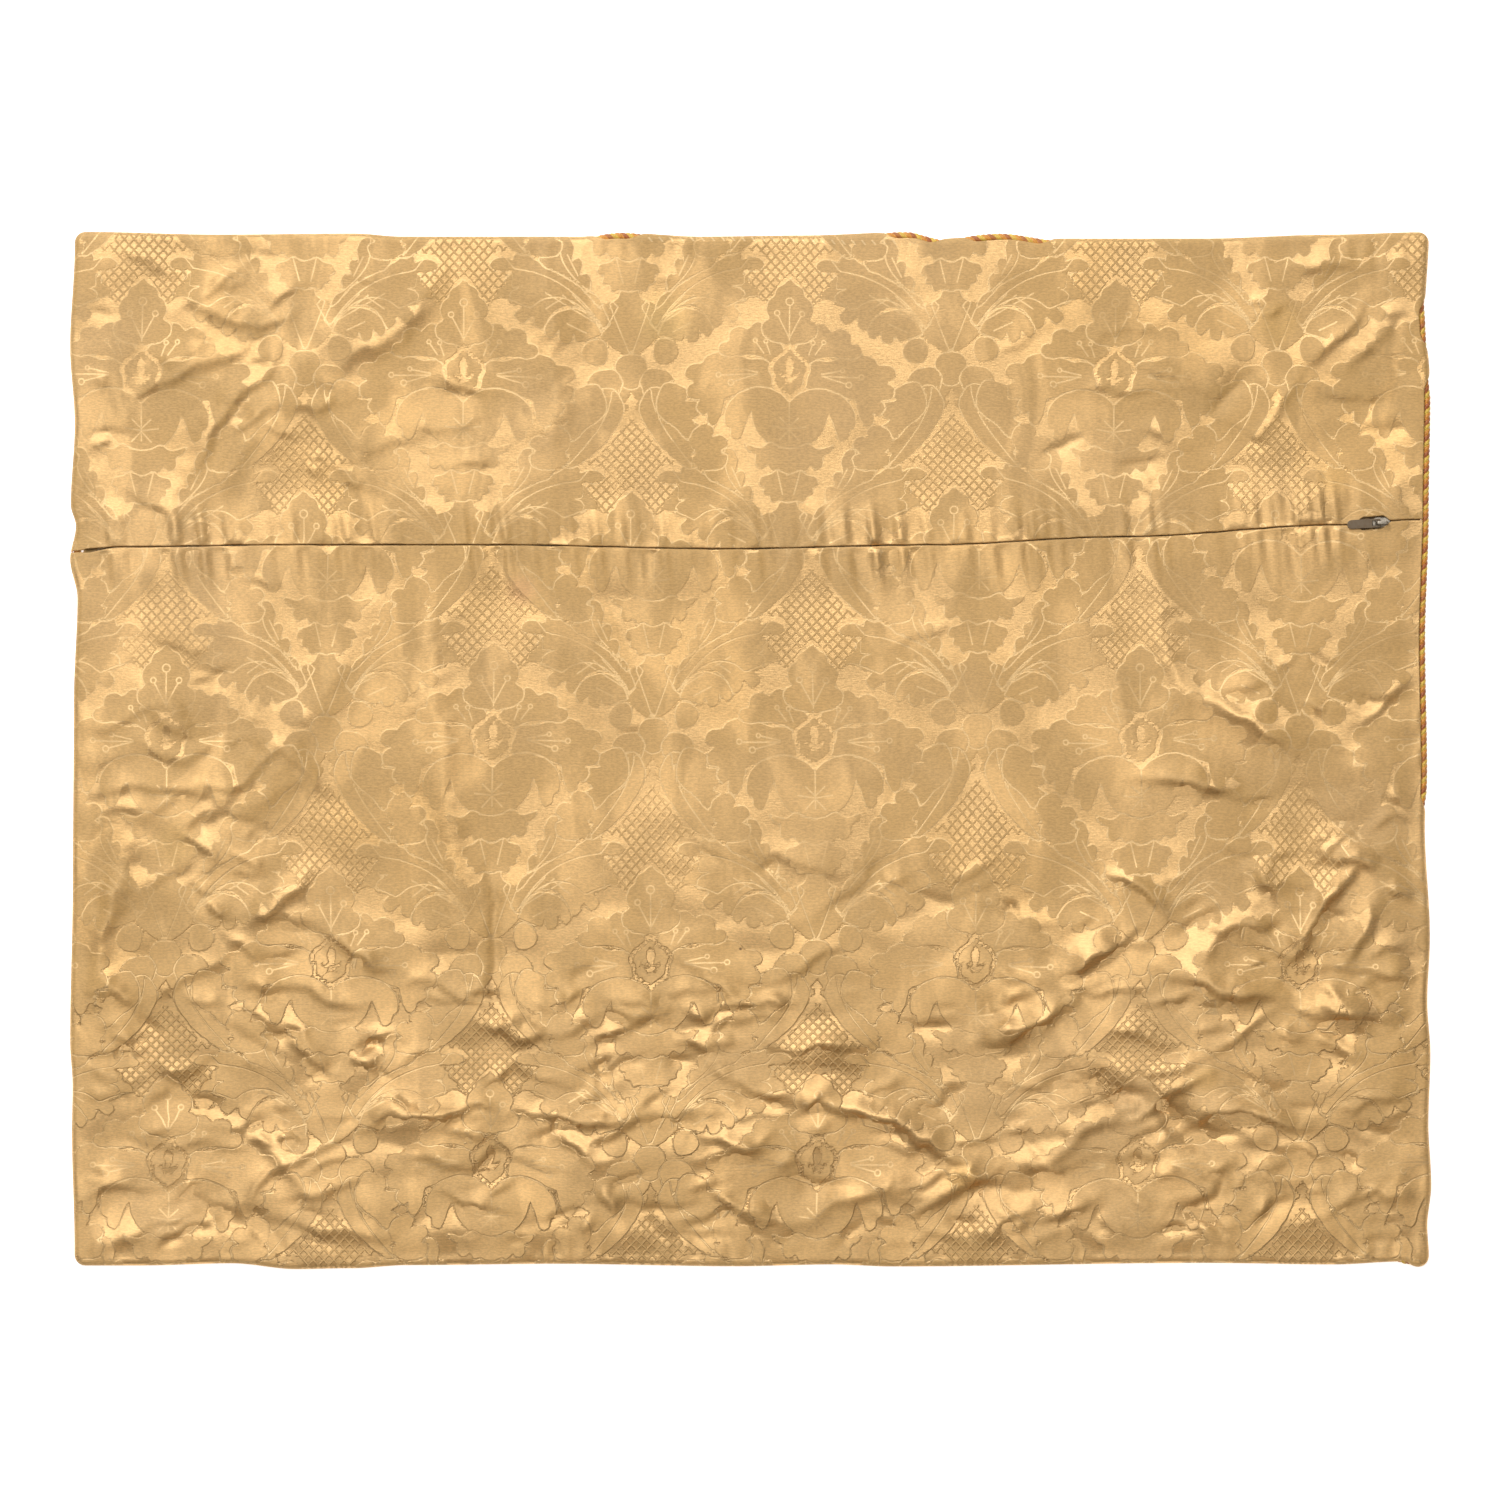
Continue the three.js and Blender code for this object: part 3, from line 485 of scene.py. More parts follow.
# The damask unit, its right half, in millimetres from the middle of the flower: name, kind,
# line, raggedness and points, of which a third value of 1 makes one sharp. Figures are
# joined, holes are cut out, and a shape with a line number is outlined in light thread.
damask = {
    "width": 145.6,
    "height": 190.9,
    "cell": 0.5,
    "deepest": 6.0,        # distances are kept up to this one
    "waver": 0.9,
    "outlineSteps": 5,
}
medallionEdge = [
    (0, 12, 1), (2.8, 8.6), (5, 6.6, 1), (7.8, 4.6), (9.8, 0.4), (8.2, -3.4, 1), (7.6, -7.4),
    (4.2, -10.6), (0, -14, 1), (-3, -14, 1), (-3, 12, 1)]
motif = [
    ("leafBase", "figure", 0, 0, [
        (0, -66, 1), (8, -64), (12.6, -66.4), (15, -72), (13, -78), (6, -85), (0, -88, 1)]),
    ("vase", "figure", 3, 0, [
        (0, -57, 1), (3.6, -58.4), (5, -62), (8.8, -64.4, 1), (5, -75), (0.8, -86, 1),
        (-3, -86, 1), (-3, -57, 1)]),
    ("acanthus", "figure", 1, 0.35, [
        (8.4, -73, 1), (13.4, -62.6), (21, -55), (31, -49.4), (40, -46.6), (47, -41.4, 1),
        (49.8, -43.6), (50.4, -46.4, 1), (56, -44.6), (61, -47.6), (58, -51.4), (51.8, -51, 1),
        (54.4, -54.6), (51.6, -58.6), (45.4, -57.6, 1), (51, -60), (52.4, -64.6), (46.8, -66.6, 1),
        (49.8, -70.4), (46.2, -74.4), (41.6, -71, 1), (41, -75.6), (36.8, -76.4), (34.2, -70.8, 1),
        (31.6, -68.2), (27, -66.2), (20, -67.4), (12, -77, 1)]),
    ("acanthusVein", "none", 2, 0, [
        (11, -76, 1), (18, -66.4), (28, -57.6), (39, -52.4), (50, -50, 1), (58, -40, 1),
        (30, -40, 1), (5, -66, 1)]),
    ("acanthusRib", "none", 3, 0, [
        (13, -74.4, 1), (21, -66.2), (29, -62.6), (37, -63.4), (43, -67.4, 1), (60, -60, 1),
        (50, -84, 1), (14, -84, 1)]),
    ("crescent", "figure", 2, 0.3, [
        (12, -78.4, 1), (17.6, -69), (26, -67.2), (33, -70.4), (37, -76.4), (34.6, -80.6),
        (30.6, -76.8, 1), (30.4, -81.6), (26, -82.4), (24.6, -77.8, 1), (22.8, -82),
        (18.4, -80.4)]),
    ("upperLeaf", "figure", 3, 0.3, [
        (10.8, -67.4, 1), (13.2, -62), (17, -59.8, 1), (15.8, -55.6), (18, -51.8),
        (21.2, -52.8, 1), (19.6, -48), (21.8, -45), (24.6, -46.8, 1), (23.4, -41), (26, -35.8),
        (30.4, -35.6), (32.8, -39.4), (32.4, -43.6, 1), (35.4, -40), (39.6, -36.2, 1), (40, -42),
        (37.6, -48.6), (30, -52.4), (21, -57.8), (14, -65.6)]),
    ("upperLeafVein", "none", 1, 0, [
        (17, -60, 1), (24.4, -53), (28.6, -46.6), (30, -40, 1), (30, -32, 1), (14, -36, 1)]),
    ("berry", "figure", 1, 0, [
        (13.6, -80), (18.6, -81.4), (21.4, -86.4), (18.4, -91), (12.4, -91.6), (10, -87.4),
        (10.6, -82.4)]),
    ("stemPad", "figure", 0, 0, [
        (0, -97, 1), (8, -98), (13, -102), (13.4, -108), (9, -112.6, 1), (5, -113.6), (0, -111, 1),
        (-3, -111, 1), (-3, -97, 1)]),
    ("arrow", "hole", 0, 0, [
        (0, -103, 1), (1.3, -106.4), (4.4, -109.8, 1), (1.5, -109.4), (1.3, -112), (0, -113.5, 1),
        (-3, -113.5, 1), (-3, -103, 1)]),
    ("knot", "figure", 3, 0, [
        (0, -87, 1), (4, -87.6), (6.8, -91), (6.4, -97), (3.4, -101.6), (0, -103, 1),
        (-3, -103, 1), (-3, -87, 1)]),
    ("knotLeaf", "figure", 2, 0.3, [
        (3.4, -99.8, 1), (6.4, -94.4), (12, -93.6), (17.4, -96), (19, -101.4), (15.8, -105.6, 1),
        (14.6, -109.4), (10.8, -107.4, 1), (8.4, -111.4), (5.6, -108.6), (5, -103.6)]),
    ("flankLeaf", "figure", 3, 0.3, [
        (5, 84.6), (8.6, 88.6), (14, 88), (18.6, 84.2), (17.2, 80.4, 1), (22.8, 80.8),
        (25.6, 76.8), (21.8, 73.2, 1), (27.8, 73.2), (29.4, 68.6), (24.6, 66.4, 1), (30.6, 65),
        (31.8, 59.6), (26.8, 57.4, 1), (31.4, 54.6), (30, 51.2, 1), (25, 51.6), (18, 57),
        (11.6, 63.4), (6.6, 70.6), (3.4, 78.4)]),
    ("flankVein", "none", 2, 0, [
        (8.4, 92, 1), (9, 84, 1), (11, 77), (15.4, 68.6), (22, 59.6), (29, 51, 1), (40, 60, 1),
        (30, 92, 1)]),
    ("curl", "figure", 1, 0.3, [
        (15, -100.4), (21.8, -101.6), (26.4, -105), (24.2, -108.8, 1), (29.6, -109.6),
        (31.2, -114.6), (27.2, -117.8, 1), (31.8, -120.6), (30.4, -126.8), (25, -126.6),
        (20.6, -121.8, 1), (17.2, -119.4), (11.6, -114), (11.6, -106.4)]),
    ("lobes", "figure", 2, 0.3, [
        (27.4, 54.4), (29.6, 58.4, 1), (26.6, 62.4), (27.4, 67.8), (32.8, 71), (37.6, 68.8),
        (36.2, 65, 1), (41.4, 66), (44.2, 61.8), (40.4, 58.6, 1), (44.2, 56.6), (42.4, 51.4),
        (37, 50.2), (32, 51)]),
    ("spur", "figure", 0, 0.4, [
        (10.6, 29.4, 1), (13.4, 34), (17.6, 38), (21.4, 43.4, 1), (22, 38), (26.4, 37.6, 1),
        (21, 34.6), (23.4, 30.4, 1), (16.4, 32.6)]),
    ("lateralPetal", "figure", 3, 0.3, [
        (6, 4, 1), (13, 4.6), (20, 4.8), (25, 6.8), (32, 8.2), (39, 6.2), (41, 3.2, 1),
        (46.8, 2.6), (48.8, -2), (44.2, -5, 1), (47.8, -7.6), (46.6, -12.6), (41.6, -13, 1),
        (43.8, -16.6), (40.8, -20.4), (38.2, -19, 1), (38.8, -23), (35, -25.2), (32, -21),
        (30.2, -13.4, 1), (20, -10), (6, -8, 1)]),
    ("sidePetal", "figure", 2, 0.3, [
        (2, 8, 1), (5, 13), (8.2, 15.8), (10.6, 19.8), (16, 21.2), (19.4, 17.6, 1), (23.4, 19.4),
        (28, 17), (28.4, 12.8, 1), (32.6, 11.6), (33, 7.6), (28, 5.6), (20, 6.4), (13.5, 5.2),
        (7, 2.4)]),
    ("heart", "figure", 1, 0.2, [
        (0, -14.4, 1), (3.6, -11.2), (9, -8.6), (16, -8), (23, -10.2), (28, -14.6), (30.4, -20.4),
        (29.8, -25), (27.6, -26.4, 1), (27, -30.2), (23.6, -31.6), (21.4, -28.2), (20, -23.4),
        (17.8, -18.6, 1), (17, -23.4), (14.6, -28.4), (10.8, -32.4), (9, -34.6, 1), (4.6, -35.8),
        (0, -36.6, 1), (-3, -36.6, 1), (-3, -14.4, 1)]),
    ("topPetal", "figure", 1, 0.2, [
        (0, 41.5, 1), (2.6, 38.8), (6, 36.6), (7, 33.2, 1), (9.8, 31), (11, 26.6), (9.4, 23, 1),
        (12.6, 20.8), (12.8, 16), (8.6, 12.6), (3.4, 11.4), (0, 10.4, 1), (-3, 10.4, 1),
        (-3, 41.5, 1)]),
    ("medallion", "figure", 2, 0, medallionEdge),
    ("medallionBand", "hole", 0, 0, medallionEdge),
    ("innerMedallion", "figure", 0, 0, [
        (0, 9.4, 1), (2, 7), (4, 5.2, 1), (6.4, 3.4), (7.9, 0.2), (6.4, -2.8, 1), (6.2, -6.4),
        (3.6, -8.8), (0, -11.4, 1), (-3, -11.4, 1), (-3, 9.4, 1)]),
    ("seed", "hole", 0, 0, [
        (0, 6.4, 1), (1.9, 3), (1.5, -0.6), (0.5, -3.2, 1), (3, -2.2), (4.8, -0.4, 1), (3.8, -3.4),
        (1.3, -4.6, 1), (2.6, -6.6, 1), (0, -5.6, 1), (-3, -5.6, 1), (-3, 6.4, 1)]),
    ("collar", "figure", 2, 0.08, [
        (0, -35.2, 1), (4.6, -34.4), (8.8, -32.4), (13.6, -35), (21.4, -32.6, 1), (19, -36.6),
        (15.4, -38.4, 1), (15.8, -42), (12.8, -44.6), (9.6, -42.6, 1), (7.6, -45.6),
        (4.4, -44.4, 1), (2.8, -46.4), (0, -49, 1), (-3, -49, 1), (-3, -35.2, 1)]),
    ("bud", "figure", 1, 0.08, [
        (0, -46.6, 1), (3, -45.6), (5.8, -44.6, 1), (8.2, -46.6), (12.6, -47.6, 1), (13.8, -51.4),
        (10.8, -52.6, 1), (11.6, -55.6), (8.6, -56.4, 1), (7.6, -59.4), (4, -58.6, 1),
        (0, -59.6, 1), (-3, -59.6, 1), (-3, -46.6, 1)]),
    ("lattice", "lattice", 0, 0, [
        (0, 76, 1), (3.4, 71), (5.6, 70.2, 1), (5.2, 67.4, 1), (9.6, 65.6, 1), (8.6, 62.8, 1),
        (14, 60.8, 1), (12.8, 57.6, 1), (24.6, 53.4, 1), (15, 53.2, 1), (11.6, 51.2), (10.6, 48.4),
        (13, 45.6), (24, 44.6, 1), (18.8, 41.4, 1), (19.6, 38.6, 1), (15, 36.4, 1), (15, 33.4, 1),
        (10.8, 29.6, 1), (7.8, 33.4), (6.4, 36.6), (3.6, 40.6), (0, 43.6, 1), (-3, 43.6, 1),
        (-3, 76, 1)]),
]
# small light rings at the heads of the stamens, in the same frame: x, y, radius
stamens = [(0, 30.6, 1.7), (5.8, 25.2, 1.2), (27.4, -6, 1.3), (33.2, -2.4, 1.1), (24.6, 0.4, 0.9),
           (11, 12.4, 0.9), (16, 12.8, 0.9)]
# single light threads: from x, y to x, y
strokes = [(0, 13, 0, 29), (0, 14, 5.4, 24.2), (9, 6.6, 10.8, 11.6), (12, 7, 15.6, 12),
           (15, -2.4, 26.2, -5.6), (15, -2.4, 32.2, -2.6), (15, -1.6, 23.8, 0.2),
           (0, -15, 0, -31), (0, -25.6, 4.2, -21.6), (0.6, -26.4, 7.6, -25.4), (0, -26.8, 4.4, -31.4),
           (13, -72.6, 24.4, -61.2), (15.6, -71.6, 28.6, -61.6), (19, -77.6, 27, -73.8),
           (5.2, -45.4, 2.6, -55.6), (13, -74, 38, -59.6), (22, -52.8, 26.4, -44),
           (28.6, -62.6, 36, -67.6), (12, -101, 10, -106)]


# a closed curve through the points of a shape, broken at its sharp ones
def smoothOutline(points):
    count = len(points)
    flat = np.array([(point[0], point[1]) for point in points], float)
    sharp = [len(point) > 2 for point in points]
    line = []
    for k in range(count):
        a, b = flat[k], flat[(k + 1) % count]
        before = a - (b - a) if sharp[k] else flat[k - 1]
        after = b + (b - a) if sharp[(k + 1) % count] else flat[(k + 2) % count]
        for step in range(damask["outlineSteps"]):
            t = step / damask["outlineSteps"]
            line.append(0.5 * (2 * a + (b - before) * t + (2 * before - 5 * a + 4 * b - after) * t ** 2
                               + (3 * a - before - 3 * b + after) * t ** 3))
    return np.array(line)


# distance to a closed outline, below 0 inside it
def signedDistance(line, x, y):
    near = np.full(x.shape, 1e9)
    inside = np.zeros(x.shape, bool)
    for (ax, ay), (bx, by) in zip(line, np.roll(line, -1, axis=0)):
        dx, dy = bx - ax, by - ay
        share = np.clip(((x - ax) * dx + (y - ay) * dy) / (dx * dx + dy * dy + 1e-12), 0, 1)
        near = np.minimum(near, (x - ax - dx * share) ** 2 + (y - ay - dy * share) ** 2)
        if ay != by:
            inside ^= ((ay > y) != (by > y)) & (x < ax + (y - ay) * dx / dy)
    return np.sqrt(near) * np.where(inside, -1, 1)


lineKeys = ("line1", "line2", "line3")


# the shapes of one repeat as distances, over half its width and its whole height
def drawRepeat():
    half, full, far = damask["width"] / 2, damask["height"], damask["deepest"]
    x, y = np.meshgrid(np.arange(0, half + damask["cell"], damask["cell"]),
                       np.arange(0, full, damask["cell"]))
    drawn = {key: np.full(x.shape, far) for key in ("figure", *lineKeys, "lattice")}
    for name, kind, lineNumber, ragged, points in motif:
        line = smoothOutline(points)
        low, high = line.min(axis=0) - far, line.max(axis=0) + far
        shapeMap = np.full(x.shape, far)
        for px, drop in ((x, 0), (half - x, full / 2)):
            for turn in (-2, -1, 0, 1, 2):
                py = y + turn * full - drop
                near = (px >= low[0]) & (px <= high[0]) & (py >= low[1]) & (py <= high[1])
                if near.any():
                    away = signedDistance(line, px[near], py[near])
                    if ragged:
                        away = away + ragged * domes(px[near], py[near], 7.5, 71, 1.0)
                    shapeMap[near] = np.minimum(shapeMap[near], away)
        if kind == "figure":
            drawn["figure"] = np.minimum(drawn["figure"], shapeMap)
            for key in lineKeys:
                drawn[key] = np.where(shapeMap < 0, np.maximum(np.abs(drawn[key]), -shapeMap), drawn[key])
        elif kind == "hole":
            drawn["figure"] = np.maximum(drawn["figure"], -shapeMap)
        elif kind == "lattice":
            drawn["lattice"] = shapeMap
        if lineNumber:
            key = lineKeys[lineNumber - 1]
            drawn[key] = np.minimum(drawn[key], shapeMap)
    return drawn


# reads a map of the repeat at places on the cloth: mirrored across, dropped by half a repeat
def readRepeat(drawn, x, y):
    half, cell = damask["width"] / 2, damask["cell"]
    across = np.abs((x + half) % (2 * half) - half) / cell
    down = (y % damask["height"]) / cell
    i = np.clip(across.astype(int), 0, drawn.shape[1] - 2)
    j = np.clip(down.astype(int), 0, drawn.shape[0] - 1)
    fx, fy = across - i, np.clip(down - j, 0, 1)
    nextJ = (j + 1) % drawn.shape[0]
    near = blendOf(drawn[j, i], drawn[j, i + 1], fx)
    return blendOf(near, blendOf(drawn[nextJ, i], drawn[nextJ, i + 1], fx), fy)


repeatMaps = drawRepeat()
print("damask repeat drawn")


# a finish in the making: short calls add its nodes, and put sets or links sockets
class Finish:
    def __init__(self, name):
        self.material = bpy.data.materials.new(name)
        self.material.use_nodes = True
        self.tree = self.material.node_tree
        self.shader = self.tree.nodes["Principled BSDF"]

    def put(self, node, inputs):
        for name, value in inputs.items():
            if isinstance(value, bpy.types.NodeSocket):
                self.tree.links.new(value, node.inputs[name])
            else:
                node.inputs[name].default_value = value
        return node

    def node(self, kind, inputs, **settings):
        node = self.tree.nodes.new(kind)
        for name, value in settings.items():
            setattr(node, name, value)
        return self.put(node, inputs)

    def calc(self, operation, *values, clamp=False):
        return self.node("ShaderNodeMath", dict(enumerate(values)), operation=operation,
                         use_clamp=clamp).outputs[0]

    def times(self, a, b):
        return self.calc("MULTIPLY", a, b)

    def plus(self, a, b):
        return self.calc("ADD", a, b)

    def minus(self, a, b):
        return self.calc("SUBTRACT", a, b)

    def least(self, a, b):
        return self.calc("MINIMUM", a, b)

    def most(self, a, b):
        return self.calc("MAXIMUM", a, b)

    # how far a value lies from another one
    def off(self, a, b=0.0):
        return self.calc("ABSOLUTE", self.minus(a, b))

    def vector(self, operation, first, second):
        node = self.node("ShaderNodeVectorMath", {0: first, 1: second}, operation=operation)
        return node.outputs["Vector" if operation == "SUBTRACT" else "Value"]

    def ramp(self, value, fromLow, fromHigh, toLow=0.0, toHigh=1.0):
        return self.node("ShaderNodeMapRange", {
            "Value": value, "From Min": fromLow, "From Max": fromHigh, "To Min": toLow,
            "To Max": toHigh}, interpolation_type="SMOOTHSTEP").outputs["Result"]

    def mix(self, share, first, second):
        return self.node("ShaderNodeMix", {0: share, 6: first, 7: second},
                         data_type="RGBA").outputs[2]

    # a pair of scales draws the noise out along one way of the cloth
    def noise(self, coords, scale, inputs=None, flat=False):
        if isinstance(scale, tuple):
            coords = self.node("ShaderNodeMapping", {"Vector": coords, "Scale": (*scale, 1)}).outputs[0]
            scale = 1.0
        return self.node("ShaderNodeTexNoise", {"Vector": coords, "Scale": scale, **(inputs or {})},
                         noise_dimensions="2D" if flat else "3D").outputs["Fac"]

    def bump(self, height, strength, distance):
        return self.node("ShaderNodeBump", {
            "Strength": strength, "Distance": distance, "Height": height}).outputs[0]

    def objectPlace(self):
        return self.node("ShaderNodeTexCoord", {}).outputs["Object"]

    def clothPlace(self):
        return self.node("ShaderNodeUVMap", {}, uv_map="cloth").outputs["UV"]


damaskSilk = {
    "ground": (0.715, 0.463, 0.206, 1),
    "figure": (0.55, 0.338, 0.124, 1),
    "ochre": (0.70, 0.39, 0.09, 1),
    "rose": (0.62, 0.40, 0.185, 1),
    "thread": (0.80, 0.58, 0.30, 1),
    "lineWidth": 0.36,
    "edgeFuzz": 1.6,
    "latticePitch": 4.5,
    "latticeRise": 0.92,
    "threadPitch": 0.42,
    "roughness": (0.5, 0.6),      # ground, figure
    "metallic": (0.7, 0.14),
    "relief": (0.3, 1.45),        # of the figure where the cloth is smooth and where it is rumpled
    "rumpledFrom": (-0.01, -0.1),
    "rib": 0.14,
}
# slanted hand stitches that close part of the top edge
handStitches = {"pitch": 4.6, "slant": 0.8, "level": 229.4, "middle": 8.6, "half": 57.0}
# faint marks on the cloth: x, y, radius, strength, colour
stains = [(-104.5, 70, 9, 0.35, (0.66, 0.36, 0.19, 1)), (-4.8, -85, 0.8, 0.8, (0.10, 0.05, 0.02, 1)),
          (205, -146, 9, 0.18, (0.80, 0.48, 0.12, 1)), (95, -192, 11, 0.18, (0.78, 0.46, 0.11, 1)),
          (236, 192, 12, 0.2, (0.78, 0.48, 0.14, 1)), (-258, -40, 11, 0.2, (0.64, 0.40, 0.12, 1)),
          (262, 122, 8, 0.15, (0.78, 0.47, 0.13, 1)), (-40, 196, 14, 0.2, (0.74, 0.52, 0.18, 1))]


# gold silk damask: satin ground and matt figure, woven from the maps that the cloth carries
def makeDamask(name, unitAt):
    silk = Finish(name)
    coords = silk.clothPlace()
    apart = silk.node("ShaderNodeSeparateXYZ", {0: coords})
    u = silk.times(apart.outputs[0], 1000.0)
    v = silk.times(apart.outputs[1], 1000.0)
    half, full = damask["width"] / 2, damask["height"]
    folded = silk.calc("PINGPONG", silk.minus(u, unitAt[0]), half)
    between = silk.calc("GREATER_THAN", folded, half / 2)
    unitX = silk.node("ShaderNodeMix", {0: between, 2: folded, 3: silk.minus(half, folded)}).outputs[0]
    dropped = silk.calc("MULTIPLY_ADD", between, full / 2, silk.minus(v, unitAt[1]))
    unitY = silk.calc("WRAP", dropped, full / 2, -full / 2)

    # edges of the figure step along the threads, so a little noise moves them
    drift = silk.noise(coords, 9.0, {"Detail": 3.0}, flat=True)
    driftFine = silk.noise(coords, 34.0, {"Detail": 3.0}, flat=True)
    threadNoise = silk.noise(coords, (520, 1500), {"Roughness": 0.7}, flat=True)
    shift = silk.times(silk.minus(threadNoise, 0.5), damaskSilk["edgeFuzz"])

    def carried(key):
        return silk.node("ShaderNodeAttribute", {}, attribute_name=key).outputs["Fac"]

    inFigure = silk.ramp(silk.plus(carried("figure"), shift), -0.3, 0.3, 1.0, 0.0)
    line = damask["deepest"]
    for key in lineKeys:
        line = silk.least(line, silk.calc("ABSOLUTE", carried(key)))
    thin, wide = 0.5 * damaskSilk["lineWidth"], 1.3 * damaskSilk["lineWidth"]
    seamLine = silk.ramp(line, thin, wide, 0.8, 0.0)
    place = silk.node("ShaderNodeCombineXYZ", {0: unitX, 1: unitY}).outputs[0]
    for x0, y0, x1, y1 in strokes:
        run = (x1 - x0, y1 - y0, 0)
        away = silk.vector("SUBTRACT", place, (x0, y0, 0))
        share = silk.calc("DIVIDE", silk.vector("DOT_PRODUCT", away, run), run[0] ** 2 + run[1] ** 2,
                          clamp=True)
        near = silk.node("ShaderNodeVectorMath", {0: run, "Scale": share}, operation="SCALE").outputs[0]
        line = silk.least(line, silk.vector("DISTANCE", away, near))
    for x, y, radius in stamens:
        away = silk.vector("DISTANCE", place, (x, y, 0))
        line = silk.least(line, silk.off(away, radius))
    line = silk.plus(line, silk.times(shift, 0.6))
    lightLine = silk.ramp(line, thin, wide, 0.8, 0.0)
    lightLine = silk.times(lightLine, silk.ramp(driftFine, 0.34, 0.52, 0.3, 1.0))
    figure = silk.times(inFigure, silk.minus(1.0, lightLine))
    raised = silk.times(inFigure, silk.calc("MULTIPLY_ADD", seamLine, -0.5, 1.0))

    # the lattice: thin crossing lines
    pitch = damaskSilk["latticePitch"]
    steep = silk.times(unitY, damaskSilk["latticeRise"])
    crossing = silk.least(*(silk.calc("PINGPONG", silk.calc(sign, unitX, steep), pitch / 2)
                            for sign in ("ADD", "SUBTRACT")))
    crossing = silk.plus(crossing, silk.times(shift, 0.35))
    inLattice = silk.ramp(silk.plus(carried("lattice"), shift), -0.25, 0.25, 1.0, 0.0)
    latticeLine = silk.times(silk.ramp(crossing, 0.3, 0.8, 1.0, 0.0), inLattice)
    outside = silk.minus(1.0, inLattice)
    figure = silk.most(silk.times(figure, outside), latticeLine)
    raised = silk.most(silk.times(raised, outside), latticeLine)

    # silk tones that drift over the cloth, and streaks of thicker yarn
    weftStreak = silk.noise(coords, (130, 1500), flat=True)
    warpStreak = silk.noise(coords, (1300, 150), flat=True)
    ground = silk.mix(silk.ramp(drift, 0.5, 0.85, 0.0, 0.22), damaskSilk["ground"], damaskSilk["ochre"])
    matt = silk.mix(silk.ramp(drift, 0.55, 0.2, 0.0, 0.5), damaskSilk["figure"], damaskSilk["rose"])
    # the lie of the threads changes from place to place, so the pattern comes and goes
    lie = silk.noise(coords, (34, 17), {"Detail": 3.0, "Roughness": 0.55, "Distortion": 0.6}, flat=True)
    rumpled = silk.ramp(silk.plus(apart.outputs[1], silk.times(drift, 0.05)), *damaskSilk["rumpledFrom"])
    tone = silk.times(figure, silk.ramp(lie, 0.42, 0.66, 1.0, 0.45))
    tone = silk.times(tone, silk.ramp(rumpled, 0.0, 1.0, 1.0, 0.75))
    tone = silk.most(tone, silk.ramp(lie, 0.45, 0.3, 0.0, 0.35))
    colour = silk.mix(tone, ground, matt)
    sewn = handStitches
    dash = silk.calc("PINGPONG", silk.calc("MULTIPLY_ADD", v, sewn["slant"], u), sewn["pitch"] / 2)
    onEdge = silk.ramp(silk.off(v, sewn["level"]), 0.9, 1.2, 1.0, 0.0)
    onRun = silk.ramp(silk.off(u, sewn["middle"]), sewn["half"], sewn["half"] + 1.5, 1.0, 0.0)
    stitches = silk.times(silk.times(silk.ramp(dash, 0.35, 0.6, 0.75, 0.0), onEdge), onRun)
    threads = silk.most(silk.times(lightLine, silk.times(inFigure, 0.6)), stitches)
    colour = silk.mix(threads, colour, damaskSilk["thread"])
    for x, y, radius, strength, tint in stains:
        away = silk.vector("DISTANCE", coords, (x * mm, y * mm, 0))
        worn = silk.ramp(silk.plus(silk.times(away, 1000.0 / radius), driftFine), 0.8, 1.6, strength, 0.0)
        colour = silk.mix(worn, colour, tint)
    value = 1.0
    for noise, spread, depth in ((weftStreak, 0.25, 0.04), (warpStreak, 0.25, 0.015),
                                 (driftFine, 0.2, 0.06), (threadNoise, 0.2, 0.1)):
        value = silk.plus(value, silk.ramp(noise, 0.5 - spread, 0.5 + spread, -depth, depth))
    colour = silk.node("ShaderNodeHueSaturation", {"Value": value, "Color": colour}).outputs[0]

    # weave: fine ribs both ways, with the figure standing a hair above the ground
    weft, warp = (silk.calc("PINGPONG", way, damaskSilk["threadPitch"] / 2) for way in (v, u))
    rib = silk.node("ShaderNodeMix", {0: figure, 2: warp, 3: weft}).outputs[0]
    height = silk.calc("MULTIPLY_ADD", rib, damaskSilk["rib"], silk.times(threadNoise, 0.18))
    lift = silk.times(silk.ramp(rumpled, 0.0, 1.0, *damaskSilk["relief"]),
                      silk.ramp(drift, 0.38, 0.6, 0.6, 1.15))
    height = silk.calc("MULTIPLY_ADD", raised, lift, height)
    silk.put(silk.shader, {
        "Base Color": colour,
        "Normal": silk.bump(height, 0.8, 0.0004),
        "Tangent": silk.node("ShaderNodeTangent", {}, direction_type="UV_MAP", uv_map="cloth").outputs[0],
        "Anisotropic": 0.5,
        "Anisotropic Rotation": silk.times(figure, 0.25),
        "Roughness": silk.ramp(tone, 0.0, 1.0, *damaskSilk["roughness"]),
        "Metallic": silk.ramp(tone, 0.0, 1.0, *damaskSilk["metallic"]),
        "IOR": 1.6,
        "Specular Tint": (1.0, 0.93, 0.8, 1),
        "Sheen Weight": 0.12,
        "Sheen Roughness": 0.4,
        "Sheen Tint": (1.0, 0.85, 0.6, 1),
    })
    return silk.material


frontSilk = {"base": (0.60, 0.385, 0.15, 1), "deep": (0.52, 0.32, 0.11, 1)}


